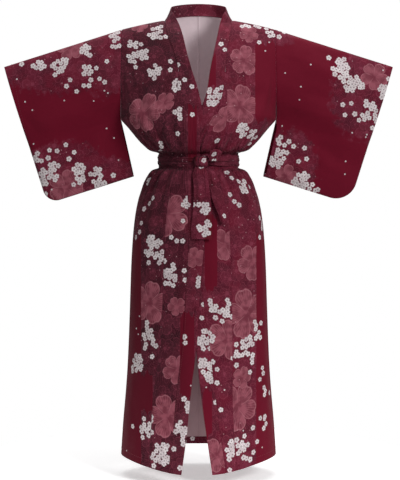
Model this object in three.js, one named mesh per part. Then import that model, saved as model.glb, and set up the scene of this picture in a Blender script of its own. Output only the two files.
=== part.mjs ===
// A women's yukata with its own tie belt, in the hollow form it keeps when worn.
// Millimetres, +Z up. The origin lies between the two shoulder points, where the wearer's
// shoulders hold the robe. The front faces -Y, and +X is the wearer's left.
import * as THREE from 'three';

// ---- driving dimensions ----
const CLOTH = 1.2;              // wall of a single layer of cloth
const BELT_CLOTH = 1.8;         // wall of the belt, sewn double
const SEAM = 0.45;              // clear gap between two pieces at a seam
const LAP = 3.8;                // how far the lapping front lies off the front below it
const UNDERARM_Z = -282;        // height of the underarm corner
const ARM_X = 219.2;            // armhole seam, from the middle
const NECK_X = 97;              // shoulder point at the neck, from the middle
const NECK_BACK = 82;           // depth of the back neck
const NECK_RISE = 31;           // how far the back neckline climbs above the shoulder points
const SHOULDER_Z = 3;           // height of the shoulder points
const COLLAR_HEIGHT = 37;       // stand of the collar at the back of the neck
const HEM_Z = -1241;            // hem at the side
const BELT_Z = -399;            // middle of the belt, at the side
const BELT_HEIGHT = 36;
const BELT_OUT = 2;             // belt's middle, off the cloth it ties
const BELT_TILT = 10;           // the belt sits this much lower in front, and higher behind
const HEM_DIP = 32;             // the hem's droop at the front edges
const SLEEVE = { width: 357, depth: 412, cuff: 235, slope: 17.6, cuffHalf: 20 };
const ARMHOLE_GAP = 0.9;        // between the sleeve's first row and the body's edge
const SIDE_ANGLE = 81;          // side seam, degrees round from the front middle

// Sections round the body: height, half width, depth in front and behind.
const SECTIONS = [
  { z: -282, half: 222.9, front: 128, back: 104 },
  { z: -305, half: 202, front: 129, back: 104 },
  { z: -323, half: 187, front: 129, back: 103 },
  { z: -340, half: 173, front: 127, back: 101 },
  { z: -357, half: 156, front: 122, back: 98 },
  { z: -371, half: 138, front: 113, back: 95 },
  { z: -378, half: 114, front: 96, back: 88 },
  { z: -399, half: 114, front: 96, back: 88 },
  { z: -420, half: 114, front: 96, back: 88 },
  { z: -427, half: 133, front: 107, back: 99 },
  { z: -444, half: 147, front: 112, back: 106 },
  { z: -461, half: 156, front: 114, back: 112 },
  { z: -487, half: 165, front: 116, back: 118 },
  { z: -513, half: 173, front: 118, back: 123 },
  { z: -560, half: 182, front: 121, back: 128 },
  { z: -616, half: 188, front: 124, back: 131 },
  { z: -700, half: 193, front: 127, back: 134 },
  { z: -824, half: 197, front: 131, back: 136 },
  { z: -910, half: 200, front: 134, back: 137 },
  { z: -996, half: 204, front: 138, back: 139 },
  { z: -1066, half: 209, front: 142, back: 140 },
  { z: -1135, half: 215, front: 146, back: 141 },
  { z: -1190, half: 219, front: 149, back: 142 },
  { z: -1241, half: 222, front: 151, back: 142 },
];

const UNDERARM = SECTIONS[0];
const BLOUSE = SECTIONS[5];     // the fullness that hangs over the belt
const WAIST = SECTIONS[7];
const HIP_Z = -616;             // the hem's droop begins below this

// Rows over the shoulder: angle from the ridge (0) to the underarm (90), half opening of
// the armhole in front and behind, and how full the chest is between the armholes.
const RISES = [
  { turn: 78, front: 33, back: 27, full: 0.85 },
  { turn: 65, front: 41, back: 34, full: 1.05 },
  { turn: 52, front: 38, back: 32, full: 1.2 },
  { turn: 38, front: 31, back: 26, full: 1.3 },
  { turn: 25, front: 22, back: 18, full: 1.3 },
  { turn: 12, front: 11, back: 9, full: 1.3 },
  { turn: 0, front: 0, back: 0, full: 1.3 },
];

// Edges on the two fronts, as distances from the middle at each height. over is the
// wearer's right front, which laps on top; under is the left front below it.
const EDGES = [
  { z: 5, overFree: -62, overSeam: -97, overPanel: -97, underFree: 64, underSeam: 97, underPanel: 97 },
  { z: -53, overFree: -44, overSeam: -85, overPanel: -85, underFree: 53, underSeam: 86, underPanel: 86 },
  { z: -103, overFree: -33, overSeam: -68, overPanel: -68, underFree: 43, underSeam: 79, underPanel: 79 },
  { z: -159, overFree: -18, overSeam: -54, overPanel: -56, underFree: 32, underSeam: 74, underPanel: 76 },
  { z: -222, overFree: 1, overSeam: -44, overPanel: -60, underFree: 22, underSeam: 66, underPanel: 80 },
  { z: -282, overFree: 12, overSeam: -41, overPanel: -72, underFree: -2, underSeam: 42, underPanel: 80 },
  { z: -316, overFree: 4, overSeam: -40, overPanel: -72, underFree: -20, underSeam: 22, underPanel: 74 },
  { z: -378, overFree: 4, overSeam: -36, overPanel: -62, underFree: -45, underSeam: -4, underPanel: 58 },
  { z: -420, overFree: 8, overSeam: -32, overPanel: -60, underFree: -53, underSeam: -12, underPanel: 56 },
  { z: -487, overFree: 13, overSeam: -29, overPanel: -76, underFree: -55, underSeam: -13, underPanel: 74 },
  { z: -616, overFree: 15, overSeam: -26, overPanel: -92, underFree: -50, underSeam: -9, underPanel: 86 },
  { z: -766, overFree: 4, overSeam: -34, overPanel: -98, underFree: -30, underSeam: 9, underPanel: 92 },
  { z: -905, overFree: -4, overSeam: -43, overPanel: -104, underFree: -8, underSeam: 30, underPanel: 94 },
  { z: -996, overFree: -16, overSeam: -54, overPanel: -118, underFree: 2, underSeam: 40, underPanel: 94 },
  { z: -1066, overFree: -24, overSeam: -62, overPanel: -126, underFree: 11, underSeam: 49, underPanel: 95 },
  { z: -1135, overFree: -31, overSeam: -68, overPanel: -131, underFree: 21, underSeam: 58, underPanel: 98 },
  { z: -1241, overFree: -46, overSeam: -82, overPanel: -138, underFree: 38, underSeam: 75, underPanel: 102 },
];

// Folds gathered by the belt: place in degrees, spread, and height and reach of each ridge
// above the belt and below it.
const FOLDS = [
  { at: -70, spread: 5, upHeight: 4, upReach: 60, downHeight: 4, downReach: 90 },
  { at: -55, spread: 5, upHeight: 7, upReach: 95, downHeight: 7, downReach: 140 },
  { at: -40, spread: 5, upHeight: 8, upReach: 75, downHeight: 8, downReach: 230 },
  { at: -25, spread: 5, upHeight: 7, upReach: 110, downHeight: 5, downReach: 130 },
  { at: -10, spread: 5, upHeight: 4, upReach: 60, downHeight: 5, downReach: 190 },
  { at: 7, spread: 5, upHeight: 5, upReach: 80, downHeight: 4, downReach: 110 },
  { at: 22, spread: 5, upHeight: 6, upReach: 120, downHeight: 5, downReach: 200 },
  { at: 37, spread: 5, upHeight: 7, upReach: 75, downHeight: 6, downReach: 130 },
  { at: 52, spread: 6, upHeight: 8, upReach: 105, downHeight: 8, downReach: 170 },
  { at: 70, spread: 5, upHeight: 4, upReach: 60, downHeight: 4, downReach: 80 },
  { at: 104, spread: 6, upHeight: 6, upReach: 80, downHeight: 6, downReach: 120 },
  { at: 121, spread: 6, upHeight: 8, upReach: 110, downHeight: 8, downReach: 190 },
  { at: 138, spread: 6, upHeight: 6, upReach: 70, downHeight: 7, downReach: 110 },
  { at: 154, spread: 6, upHeight: 8, upReach: 130, downHeight: 9, downReach: 230 },
  { at: 171, spread: 6, upHeight: 6, upReach: 90, downHeight: 6, downReach: 140 },
  { at: 188, spread: 6, upHeight: 8, upReach: 110, downHeight: 9, downReach: 210 },
  { at: 205, spread: 6, upHeight: 6, upReach: 70, downHeight: 6, downReach: 130 },
  { at: 222, spread: 6, upHeight: 8, upReach: 120, downHeight: 8, downReach: 180 },
  { at: 239, spread: 6, upHeight: 6, upReach: 90, downHeight: 7, downReach: 110 },
  { at: 256, spread: 6, upHeight: 5, upReach: 70, downHeight: 5, downReach: 80 },
];

// Folds of a sleeve: place down the sleeve (0 top, 1 bottom) at the armhole and at the cuff.
const SLEEVE_FOLDS = [
  { start: 0.1, end: 0.3, spread: 0.07, height: 4 },
  { start: 0.45, end: 0.55, spread: 0.08, height: 5 },
  { start: 0.68, end: 0.72, spread: 0.07, height: -3 },
];

// Belt tails: height, left and right edge from the middle, and distance off the robe.
const TAIL_CENTRE = [
  { z: -426.4, left: -9, right: 18, out: 15.5 },
  { z: -437, left: -13, right: 23, out: 15 },
  { z: -450, left: -15, right: 26, out: 16 },
  { z: -485, left: -13, right: 30, out: 16 },
  { z: -520, left: -13, right: 34, out: 14 },
  { z: -560, left: -16, right: 36, out: 12 },
  { z: -600, left: -20, right: 37, out: 10 },
  { z: -626, left: -19, right: 37, out: 10 },
];
const TAIL_SIDE = [
  { z: -427.9, left: 10, right: 27, out: 11 },
  { z: -437, left: 20, right: 42, out: 10.5 },
  { z: -450, left: 25, right: 51, out: 11.5 },
  { z: -477, left: 28, right: 63, out: 11 },
  { z: -518, left: 39, right: 71, out: 9 },
  { z: -554, left: 54, right: 75, out: 6.5 },
  { z: -579, left: 63, right: 76, out: 5.5 },
];
const KNOT = { x: 8, z: -411, halfWidth: 19, halfHeight: 16, bulge: 17 };
const LOOP = { x: 31, z: -409, width: 32, rise: 32, apart: 12 };

// ---- small helpers ----
const { degToRad, lerp, smoothstep } = THREE.MathUtils;

// Value of one column of a table at a height, straight between its rows.
function tableAt(table, z, column) {
  let upper = table[0];
  for (const lower of table) {
    if (z >= lower.z) {
      const span = upper.z - lower.z;
      const part = span === 0 ? 0 : Math.min(1, (z - lower.z) / span);
      return lerp(lower[column], upper[column], part);
    }
    upper = lower;
  }
  return upper[column];
}

function rangeOf(count) {
  return Array.from({ length: count + 1 }, (_, step) => step / count);
}

// A closed wall about a grid of points, rows by columns. A ring joins its last column
// to its first.
function wall(grid, thickness, ring = false) {
  const rows = grid.length;
  const columns = grid[0].length;
  const at = (row, column) => grid[row][ring ? (column + columns) % columns : column];
  const positions = [];
  for (const side of [0.5, -0.5]) {
    for (let row = 0; row < rows; row += 1) {
      for (let column = 0; column < columns; column += 1) {
        const left = at(row, ring ? column - 1 : Math.max(column - 1, 0));
        const right = at(row, ring ? column + 1 : Math.min(column + 1, columns - 1));
        const down = at(Math.max(row - 1, 0), column);
        const up = at(Math.min(row + 1, rows - 1), column);
        const along = right.clone().sub(left).normalize();
        const across = up.clone().sub(down).normalize();
        const normal = along.cross(across).normalize();
        const point = at(row, column).clone().addScaledVector(normal, side * thickness);
        positions.push(point.x, point.y, point.z);
      }
    }
  }
  const index = [];
  const inner = rows * columns;
  const quad = (a, b, c, d) => index.push(a, b, c, a, c, d);
  const lastColumn = ring ? columns : columns - 1;
  for (let row = 0; row < rows - 1; row += 1) {
    for (let column = 0; column < lastColumn; column += 1) {
      const next = (column + 1) % columns;
      const a = row * columns + column;
      const b = row * columns + next;
      const c = (row + 1) * columns + next;
      const d = (row + 1) * columns + column;
      quad(a, b, c, d);
      quad(inner + d, inner + c, inner + b, inner + a);
    }
  }
  for (let column = 0; column < lastColumn; column += 1) {
    const next = (column + 1) % columns;
    const top = (rows - 1) * columns;
    quad(inner + column, inner + next, next, column);
    quad(top + column, top + next, inner + top + next, inner + top + column);
  }
  if (!ring) {
    for (let row = 0; row < rows - 1; row += 1) {
      const a = row * columns;
      const b = (row + 1) * columns;
      const end = columns - 1;
      quad(a, b, inner + b, inner + a);
      quad(inner + a + end, inner + b + end, b + end, a + end);
    }
  }
  const geometry = new THREE.BufferGeometry();
  geometry.setAttribute('position', new THREE.Float32BufferAttribute(positions, 3));
  geometry.setIndex(index);
  geometry.computeVertexNormals();
  return geometry;
}

// ---- the robe's surface ----
// A level is one row of the robe: a section below the underarm, or a rise above it.
const LEVELS = [
  ...SECTIONS.slice().reverse().map((section) => ({ section })),
  ...RISES.map((rise) => ({ rise })),
];
const UNDERARM_LEVEL = SECTIONS.length - 1;

function shoulderHeight(x) {
  const past = Math.abs(x) - NECK_X;
  const fall = past > 0 ? 0.16 * past + 6 * (past / (ARM_X - NECK_X)) ** 2 : 0.1 * past;
  return SHOULDER_Z - fall;
}

function foldHeight(degrees, z) {
  const above = z - (BELT_Z + BELT_HEIGHT / 2 + 3);
  const below = (BELT_Z - BELT_HEIGHT / 2 - 3) - z;
  let height = 0;
  for (const fold of FOLDS) {
    let turn = degrees - fold.at;
    if (turn < -180) turn += 360;
    const ridge = Math.exp(-((turn / fold.spread) ** 2));
    const fade = (distance, start, reach) => smoothstep(distance, 0, start)
      * Math.exp(-((distance / reach) ** 2));
    if (above > 0) height += fold.upHeight * ridge * fade(above, 12, fold.upReach);
    if (below > 0) height += fold.downHeight * ridge * fade(below, 14, fold.downReach);
  }
  return height;
}

// How far the rows near the belt lean down towards the front.
function tiltAt(z) {
  return BELT_TILT * Math.exp(-(((z - BELT_Z) / 75) ** 2));
}

// A point of a section, by degrees round from the front middle, moved out of the cloth.
function ringPoint(section, degrees, out, plain = false) {
  const angle = degToRad(degrees);
  const facing = Math.cos(angle);
  const depth = facing > 0 ? section.front : section.back;
  const point = new THREE.Vector3(section.half * Math.sin(angle), -depth * facing, section.z);
  const normal = new THREE.Vector3(Math.sin(angle) / section.half, -facing / depth, 0).normalize();
  point.addScaledVector(normal, out + (plain ? 0 : foldHeight(degrees, section.z)));
  point.z -= tiltAt(section.z) * facing;
  const low = Math.max(0, (HIP_Z - section.z) / (HIP_Z - HEM_Z));
  point.z -= HEM_DIP * Math.max(0, facing) ** 3 * low ** 1.5;
  return point;
}

// Height of a rise at a distance from the middle.
function riseHeight(rise, x) {
  const top = shoulderHeight(x);
  return top + (UNDERARM_Z - top) * (1 - Math.cos(degToRad(rise.turn)));
}

// Depth of the chest (or back) on a rise.
function riseDepth(rise, x, depth, opening) {
  const between = Math.cos(Math.PI / 2 * Math.min(1, Math.abs(x) / armholeX(rise)));
  const reach = depth * Math.sin(degToRad(rise.turn));
  return opening + (reach - opening) * between ** rise.full;
}

function armholeX(rise) {
  return ARM_X + 3.3 * (1 - Math.cos(degToRad(rise.turn))) ** 2;
}

const UNDERARM_ANGLE = 86.4;

// A point of a front, by level and degrees from the front middle.
function frontPoint(level, degrees, out) {
  if (level.section) return ringPoint(level.section, degrees, out);
  const reach = armholeX(level.rise) / Math.sin(degToRad(UNDERARM_ANGLE));
  const x = reach * Math.sin(degToRad(degrees));
  const depth = riseDepth(level.rise, x, UNDERARM.front, level.rise.front);
  const gap = SEAM * Math.cos(degToRad(level.rise.turn));
  return new THREE.Vector3(x, -depth - gap - out, riseHeight(level.rise, x));
}

// Degrees round the front at which a level lies a given distance from the middle.
function degreesAt(level, x) {
  const half = level.section ? level.section.half
    : armholeX(level.rise) / Math.sin(degToRad(UNDERARM_ANGLE));
  return THREE.MathUtils.radToDeg(Math.asin(x / half));
}

// Height at which the edge table is read on a level.
function edgeHeight(level) {
  return level.section ? level.section.z : riseHeight(level.rise, 60);
}

function edgeDegrees(level, column) {
  return degreesAt(level, tableAt(EDGES, edgeHeight(level), column));
}

function sideDegrees(level) {
  if (level.rise || level.section.z >= UNDERARM_Z) return UNDERARM_ANGLE;
  return lerp(88.5, SIDE_ANGLE, smoothstep(-level.section.z, 300, 460));
}

// Degrees that a length of cloth takes up on a level.
function degreesOf(level, length) {
  const half = level.section ? level.section.half : ARM_X;
  return THREE.MathUtils.radToDeg(length / half);
}

// The right front lies over the left one between these degrees.
function lapOut(degrees, z) {
  return LAP * smoothstep(degrees, -62, -38) * smoothstep(-z, 150, 232);
}

// A strip of a front between two edges, over the levels from first to last.
function frontStrip(first, last, columns, outerEdge, innerEdge, over) {
  return LEVELS.slice(first, last + 1).map((level) => {
    const outer = outerEdge(level);
    const inner = innerEdge(level);
    const side = Math.sign(inner - outer);
    const gap = degreesOf(level, SEAM / 2) * side;
    return rangeOf(columns).map((part) => {
      const degrees = lerp(outer + gap, inner - gap, part);
      return frontPoint(level, degrees, over ? lapOut(degrees, edgeHeight(level)) : 0);
    });
  });
}

// ---- pieces of the body ----
const PANEL_COLUMNS = 11;
const OVERLAP_COLUMNS = 4;
const BAND_COLUMNS = 3;
const BACK_COLUMNS = 26;
const SHOULDER_COLUMNS = 5;
const OVERLAP_TOP = UNDERARM_LEVEL + 2;
const TOP_LEVEL = LEVELS.length - 1;

function frontPanel(over) {
  const hand = over ? -1 : 1;
  const column = over ? 'overPanel' : 'underPanel';
  const outer = (level) => hand * sideDegrees(level);
  return frontStrip(0, TOP_LEVEL, PANEL_COLUMNS, outer, (level) => edgeDegrees(level, column), over);
}

function overlapPanel(over) {
  const [outer, inner] = over ? ['overPanel', 'overSeam'] : ['underPanel', 'underSeam'];
  return frontStrip(0, OVERLAP_TOP, OVERLAP_COLUMNS, (level) => edgeDegrees(level, outer),
    (level) => edgeDegrees(level, inner), over);
}

// The neckline, from the wearer's left shoulder point (0) round the back to the right (1).
function neckline(part) {
  const angle = Math.PI * part;
  const rise = NECK_RISE * Math.sin(angle) ** 1.2;
  return new THREE.Vector3(NECK_X * Math.cos(angle), NECK_BACK * Math.sin(angle), SHOULDER_Z + rise);
}

function backTop(column) {
  const last = BACK_COLUMNS - SHOULDER_COLUMNS;
  if (column > SHOULDER_COLUMNS && column < last) {
    return neckline((column - SHOULDER_COLUMNS) / (last - SHOULDER_COLUMNS));
  }
  const hand = column <= SHOULDER_COLUMNS ? 1 : -1;
  const part = (hand > 0 ? column : BACK_COLUMNS - column) / SHOULDER_COLUMNS;
  const x = lerp(ARM_X, NECK_X, part);
  return new THREE.Vector3(hand * x, SEAM, shoulderHeight(x));
}

// A point of the back, by level, degrees round and column.
function backPoint(level, degrees, column) {
  if (level.section) return ringPoint(level.section, degrees, 0);
  const rise = level.rise;
  const top = backTop(column);
  const near = Math.cos(degToRad(rise.turn));
  const reach = armholeX(rise) / Math.sin(degToRad(UNDERARM_ANGLE));
  const x = lerp(reach * Math.sin(degToRad(degrees)), top.x, near ** 1.5);
  const depth = riseDepth(rise, x, UNDERARM.back, rise.back);
  const y = depth + top.y * (1 - Math.sin(degToRad(rise.turn)));
  return new THREE.Vector3(x, y, lerp(UNDERARM_Z, top.z, near));
}

// One half of the back, from its side seam to the seam down the middle.
function backPanel(hand) {
  const middle = BACK_COLUMNS / 2;
  const [first, last] = hand > 0 ? [0, middle] : [middle, BACK_COLUMNS];
  return LEVELS.map((level) => {
    const side = sideDegrees(level) + degreesOf(level, SEAM / 2);
    const start = level.rise || level.section.z >= UNDERARM_Z ? 180 - UNDERARM_ANGLE : side;
    return rangeOf(BACK_COLUMNS).slice(first, last + 1).map((part, step) => {
      const point = backPoint(level, lerp(start, 360 - start, part), first + step);
      if (first + step === middle) point.x += hand * SEAM / 2;
      return point;
    });
  });
}

// The collar band: up the lapping front's edge, round the neck and down the other edge.
function collarBand() {
  const parts = rangeOf(BAND_COLUMNS);
  const stretch = (over) => LEVELS.slice(0, TOP_LEVEL - 1).map((level) => {
    const seam = edgeDegrees(level, over ? 'overSeam' : 'underSeam');
    const free = edgeDegrees(level, over ? 'overFree' : 'underFree');
    const gap = degreesOf(level, SEAM / 2) * Math.sign(free - seam);
    return parts.map((part) => {
      const degrees = lerp(seam + gap, free, part);
      return frontPoint(level, degrees, over ? lapOut(degrees, edgeHeight(level)) : 0);
    });
  });
  const neck = rangeOf(14).map((step) => {
    const along = lerp(-0.09, 1.09, step);
    const seam = along < 0 || along > 1 ? frontNeck(along) : neckline(along);
    const lean = Math.min(1, Math.sin(Math.PI * THREE.MathUtils.clamp(along, 0, 1)) + 0.06);
    const inward = lerp(27, 1, lean ** 0.6);
    const ahead = lerp(-4, 5, lean);
    const stand = lerp(23, COLLAR_HEIGHT, smoothstep(lean, 0.06, 0.5));
    const away = new THREE.Vector3(-Math.sign(seam.x) * inward, ahead, stand);
    const start = seam.clone().addScaledVector(away.clone().normalize(), 1.2);
    return parts.map((part) => start.clone().addScaledVector(away, part));
  });
  return [...stretch(true), ...neck.reverse(), ...stretch(false).reverse()];
}

// The neckline just in front of the shoulder points.
function frontNeck(along) {
  const past = along < 0 ? -along : along - 1;
  const hand = along < 0 ? 1 : -1;
  return new THREE.Vector3(hand * (NECK_X - 20 * past), -260 * past, SHOULDER_Z - 60 * past);
}

// ---- sleeves ----
// Places on a sleeve: along it from the shoulder, and down it, square to its top fold.
function sleeveFrame(hand) {
  const slope = degToRad(SLEEVE.slope);
  const origin = new THREE.Vector3(hand * ARM_X, 0, shoulderHeight(ARM_X));
  const along = new THREE.Vector3(hand * Math.cos(slope), 0, -Math.sin(slope));
  const down = new THREE.Vector3(-hand * Math.sin(slope), 0, -Math.cos(slope));
  return { origin, along, down };
}

// The lower edge: along the bottom, round the corner and up to the foot of the cuff.
function sleeveFoot(part, start, radius) {
  const bottom = SLEEVE.width - radius - start.x;
  const corner = Math.PI / 2 * radius;
  const side = SLEEVE.depth - radius - SLEEVE.cuff;
  let length = part * (bottom + corner + side);
  if (length < bottom) return new THREE.Vector2(start.x + length, SLEEVE.depth);
  length -= bottom;
  if (length < corner) {
    const angle = length / radius;
    const centre = new THREE.Vector2(SLEEVE.width - radius, SLEEVE.depth - radius);
    return centre.add(new THREE.Vector2(Math.sin(angle), Math.cos(angle)).multiplyScalar(radius));
  }
  length -= corner;
  return new THREE.Vector2(SLEEVE.width, SLEEVE.depth - radius - length);
}

// The inner edge of a sleeve: the armhole seam, then the free edge below the underarm.
function sleeveStart(hand) {
  const frame = sleeveFrame(hand);
  const places = LEVELS.slice(UNDERARM_LEVEL).reverse().map((level) => {
    const rise = level.rise ?? { turn: 90, front: 11, back: 11 };
    const x = armholeX(rise);
    const seam = new THREE.Vector3(hand * x, 0, riseHeight(rise, x)).sub(frame.origin);
    const { front, back } = rise;
    return { x: seam.dot(frame.along) + ARMHOLE_GAP, y: seam.dot(frame.down), front, back };
  });
  const corner = places[places.length - 1];
  const free = [
    { part: 0.28, half: 11 }, { part: 0.56, half: 11 }, { part: 0.82, half: 10 },
    { part: 0.97, half: 7 }, { part: 1, half: 0 },
  ];
  for (const { part, half } of free) {
    const x = lerp(corner.x, corner.x + 14, part);
    places.push({ x, y: lerp(corner.y, SLEEVE.depth, part), front: half, back: half });
  }
  return places;
}

function sleeve(hand, radius) {
  const frame = sleeveFrame(hand);
  const start = sleeveStart(hand);
  const last = start.length - 1;
  const rows = rangeOf(12).map((along) => {
    const top = new THREE.Vector2(lerp(start[0].x, SLEEVE.width, along), 0);
    const foot = sleeveFoot(along, start[last], radius);
    return start.map((place) => {
      const down = place.y / SLEEVE.depth;
      const cuff = new THREE.Vector2(SLEEVE.width, SLEEVE.cuff * down);
      const corner = lerp(lerp(start[0].x, start[last].x, down), SLEEVE.width, along);
      const cornerDown = lerp(SLEEVE.depth * down, SLEEVE.cuff * down, along);
      const x = lerp(place.x, cuff.x, along) + lerp(top.x, foot.x, down) - corner;
      const y = lerp(place.y, cuff.y, along) + lerp(top.y, foot.y, down) - cornerDown;
      const open = SLEEVE.cuffHalf * Math.sin(Math.PI * down) ** 0.8;
      const lift = sleeveFold(along, down);
      const face = place === start[0] || place === start[last] ? 0 : 1;
      return {
        x, y,
        front: face * (lerp(place.front, open, along) + lift),
        back: face * (lerp(place.back, open, along) + lift),
      };
    });
  });
  return rows.map((row) => {
    const point = (place, depth) => frame.origin.clone()
      .addScaledVector(frame.along, place.x)
      .addScaledVector(frame.down, place.y)
      .add(new THREE.Vector3(0, depth, 0));
    const front = row.map((place) => point(place, -place.front));
    const back = row.slice(1, -1).reverse().map((place) => point(place, place.back));
    return [...front, ...back];
  });
}

function sleeveFold(along, down) {
  const reach = Math.sin(Math.PI * Math.min(1, along * 1.15)) ** 2;
  let lift = 0;
  for (const fold of SLEEVE_FOLDS) {
    const place = lerp(fold.start, fold.end, along);
    lift += fold.height * reach * Math.exp(-(((down - place) / fold.spread) ** 2));
  }
  return lift;
}

// ---- belt ----
function beltRound() {
  const rows = [-0.5, 0, 0.5].map((part) => {
    const section = { ...WAIST, z: BELT_Z + BELT_HEIGHT * part };
    return rangeOf(60).slice(0, -1).map((step) => {
      const degrees = -180 + 360 * step;
      const lap = LAP * smoothstep(degrees, -75, -45) * (1 - smoothstep(degrees, 30, 60));
      return ringPoint(section, degrees, BELT_OUT + lap, true);
    });
  });
  return rows;
}

// Depth of the plain robe in front, at a height and a distance from the middle.
function frontDepth(z, x) {
  const level = z + tiltAt(z);
  const half = tableAt(SECTIONS, level, 'half');
  return tableAt(SECTIONS, level, 'front') * Math.sqrt(1 - (x / half) ** 2);
}

function beltKnot() {
  const face = WAIST.front + BELT_OUT + LAP + BELT_CLOTH + 0.6;
  return rangeOf(8).map((up) => rangeOf(8).map((across) => {
    const v = 2 * up - 1;
    const u = 2 * across - 1;
    const dome = Math.sqrt(Math.max(0, 1 - Math.abs(u) ** 3)) * Math.sqrt(Math.max(0, 1 - Math.abs(v) ** 3));
    const crease = 2.5 * Math.exp(-(((u - 0.5 * v) / 0.22) ** 2)) * dome;
    const waist = 1 - 0.12 * v * v;
    return new THREE.Vector3(KNOT.x + KNOT.halfWidth * u * waist, -face - KNOT.bulge * dome + crease,
      KNOT.z + KNOT.halfHeight * v);
  }));
}

// The folded end that stands above the belt beside the knot: up, over and down again.
function beltLoop() {
  const foot = WAIST.front + BELT_OUT + LAP + BELT_CLOTH + 3;
  const head = BLOUSE.front + LAP + 8;
  return rangeOf(20).map((step) => {
    const turn = Math.PI * step;
    const up = Math.max(0, Math.sin(turn)) ** 0.4;
    const out = LOOP.apart * (0.5 - 0.5 * Math.cos(turn));
    return rangeOf(4).map((across) => {
      const width = LOOP.width * lerp(0.75, 1, up);
      const x = LOOP.x + width * across - 3 + 5 * up;
      const z = LOOP.z + LOOP.rise * up * (1 - 0.12 * across);
      const wave = 1.5 * Math.sin(5 * across) * up;
      return new THREE.Vector3(x, -lerp(foot, head, up) - out - wave, z);
    });
  });
}

function beltTail(table) {
  return table.map((row) => rangeOf(5).map((across) => {
    const x = lerp(row.left, row.right, across);
    const curl = 2.2 * Math.sin(Math.PI * across);
    return new THREE.Vector3(x, -frontDepth(row.z, 0) - row.out - curl, row.z);
  })).reverse();
}

// ---- assembly ----
const PRINT_CLOTH = 0x651626;
const BELT_PRINT = 0x5d1424;

function clothMaterial(colour) {
  return new THREE.MeshStandardMaterial({ color: colour, roughness: 0.85, metalness: 0 });
}

const robe = new THREE.Group();
robe.name = 'yukata';

function addPiece(name, grid, thickness, colour, ring = false) {
  const mesh = new THREE.Mesh(wall(grid, thickness, ring), clothMaterial(colour));
  mesh.name = name;
  robe.add(mesh);
}

const mirrored = (grid) => grid.map((row) => row.slice().reverse());

addPiece('back_right', backPanel(-1), CLOTH, PRINT_CLOTH);
addPiece('back_left', backPanel(1), CLOTH, PRINT_CLOTH);
addPiece('front_right', frontPanel(true), CLOTH, PRINT_CLOTH);
addPiece('front_left', mirrored(frontPanel(false)), CLOTH, PRINT_CLOTH);
addPiece('overlap_right', overlapPanel(true), CLOTH, PRINT_CLOTH);
addPiece('overlap_left', mirrored(overlapPanel(false)), CLOTH, PRINT_CLOTH);
addPiece('collar_band', collarBand(), CLOTH, PRINT_CLOTH);
addPiece('sleeve_right', sleeve(-1, 38), CLOTH, PRINT_CLOTH, true);
addPiece('sleeve_left', sleeve(1, 72), CLOTH, PRINT_CLOTH, true);
addPiece('belt_round', beltRound(), BELT_CLOTH, BELT_PRINT, true);
addPiece('belt_knot', beltKnot(), BELT_CLOTH, BELT_PRINT);
addPiece('belt_loop', beltLoop(), BELT_CLOTH, BELT_PRINT);
addPiece('belt_tail_centre', beltTail(TAIL_CENTRE), BELT_CLOTH, BELT_PRINT);
addPiece('belt_tail_side', beltTail(TAIL_SIDE), BELT_CLOTH, BELT_PRINT);

export default robe;
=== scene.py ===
# %% [markdown]
# # A worn yukata with its tie belt
# A yukata is a light unlined robe, cut from straight lengths of narrow cloth. Two lengths make
# the body, two make the wide sleeves, and narrow ones make the overlaps and the collar band.
# This robe keeps the round form it has when worn, with nobody in it, so you can look in at the
# neck, the cuffs and the hem. Each sewn piece is a thin shell of its own. We draw each shell
# from a short table of sizes, because a table is easy to read, to check and to change.

# %% Load the fixed frame
import math
import bpy
import numpy as np
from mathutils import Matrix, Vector, kdtree


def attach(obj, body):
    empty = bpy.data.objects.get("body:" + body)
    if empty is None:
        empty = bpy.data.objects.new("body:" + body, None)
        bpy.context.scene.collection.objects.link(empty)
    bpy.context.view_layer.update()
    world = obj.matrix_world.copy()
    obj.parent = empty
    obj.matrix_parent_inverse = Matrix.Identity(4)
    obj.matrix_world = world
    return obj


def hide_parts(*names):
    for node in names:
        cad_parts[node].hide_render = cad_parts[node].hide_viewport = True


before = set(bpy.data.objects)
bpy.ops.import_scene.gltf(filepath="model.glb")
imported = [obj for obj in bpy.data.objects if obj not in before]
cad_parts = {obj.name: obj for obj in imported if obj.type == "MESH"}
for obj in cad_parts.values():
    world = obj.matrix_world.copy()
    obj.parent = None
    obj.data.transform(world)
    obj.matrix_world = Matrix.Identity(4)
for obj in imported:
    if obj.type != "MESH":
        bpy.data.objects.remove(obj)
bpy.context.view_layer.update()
scene = bpy.context.scene

# %% [markdown]
# ## The sizes of the body
# The tables hold millimetres, with up as +Z and the front towards -Y. Below the underarm the
# robe is a stack of rounded sections. Above it each row is a slice that turns over the
# shoulder, named by its angle from the shoulder ridge. A smooth curve through each column of a
# table gives every row in between. It is a curve that never swings past the table's own
# values, so the waist stays as narrow as it was measured.

# %% Body tables
HEM, UNDERARM, BELT_Z, BELT_TALL = -1241.0, -282.0, -399.0, 36.0
ARM_X, NECK_X, NECK_BACK, NECK_RISE, SHOULDER_Z = 219.2, 97.0, 82.0, 31.0, 3.0
HIP, HEM_DIP, BELT_TILT, LAP = -616.0, 32.0, 10.0, 3.8
ARM_ANGLE, SIDE_ANGLE = 86.4, 81.0
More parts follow.
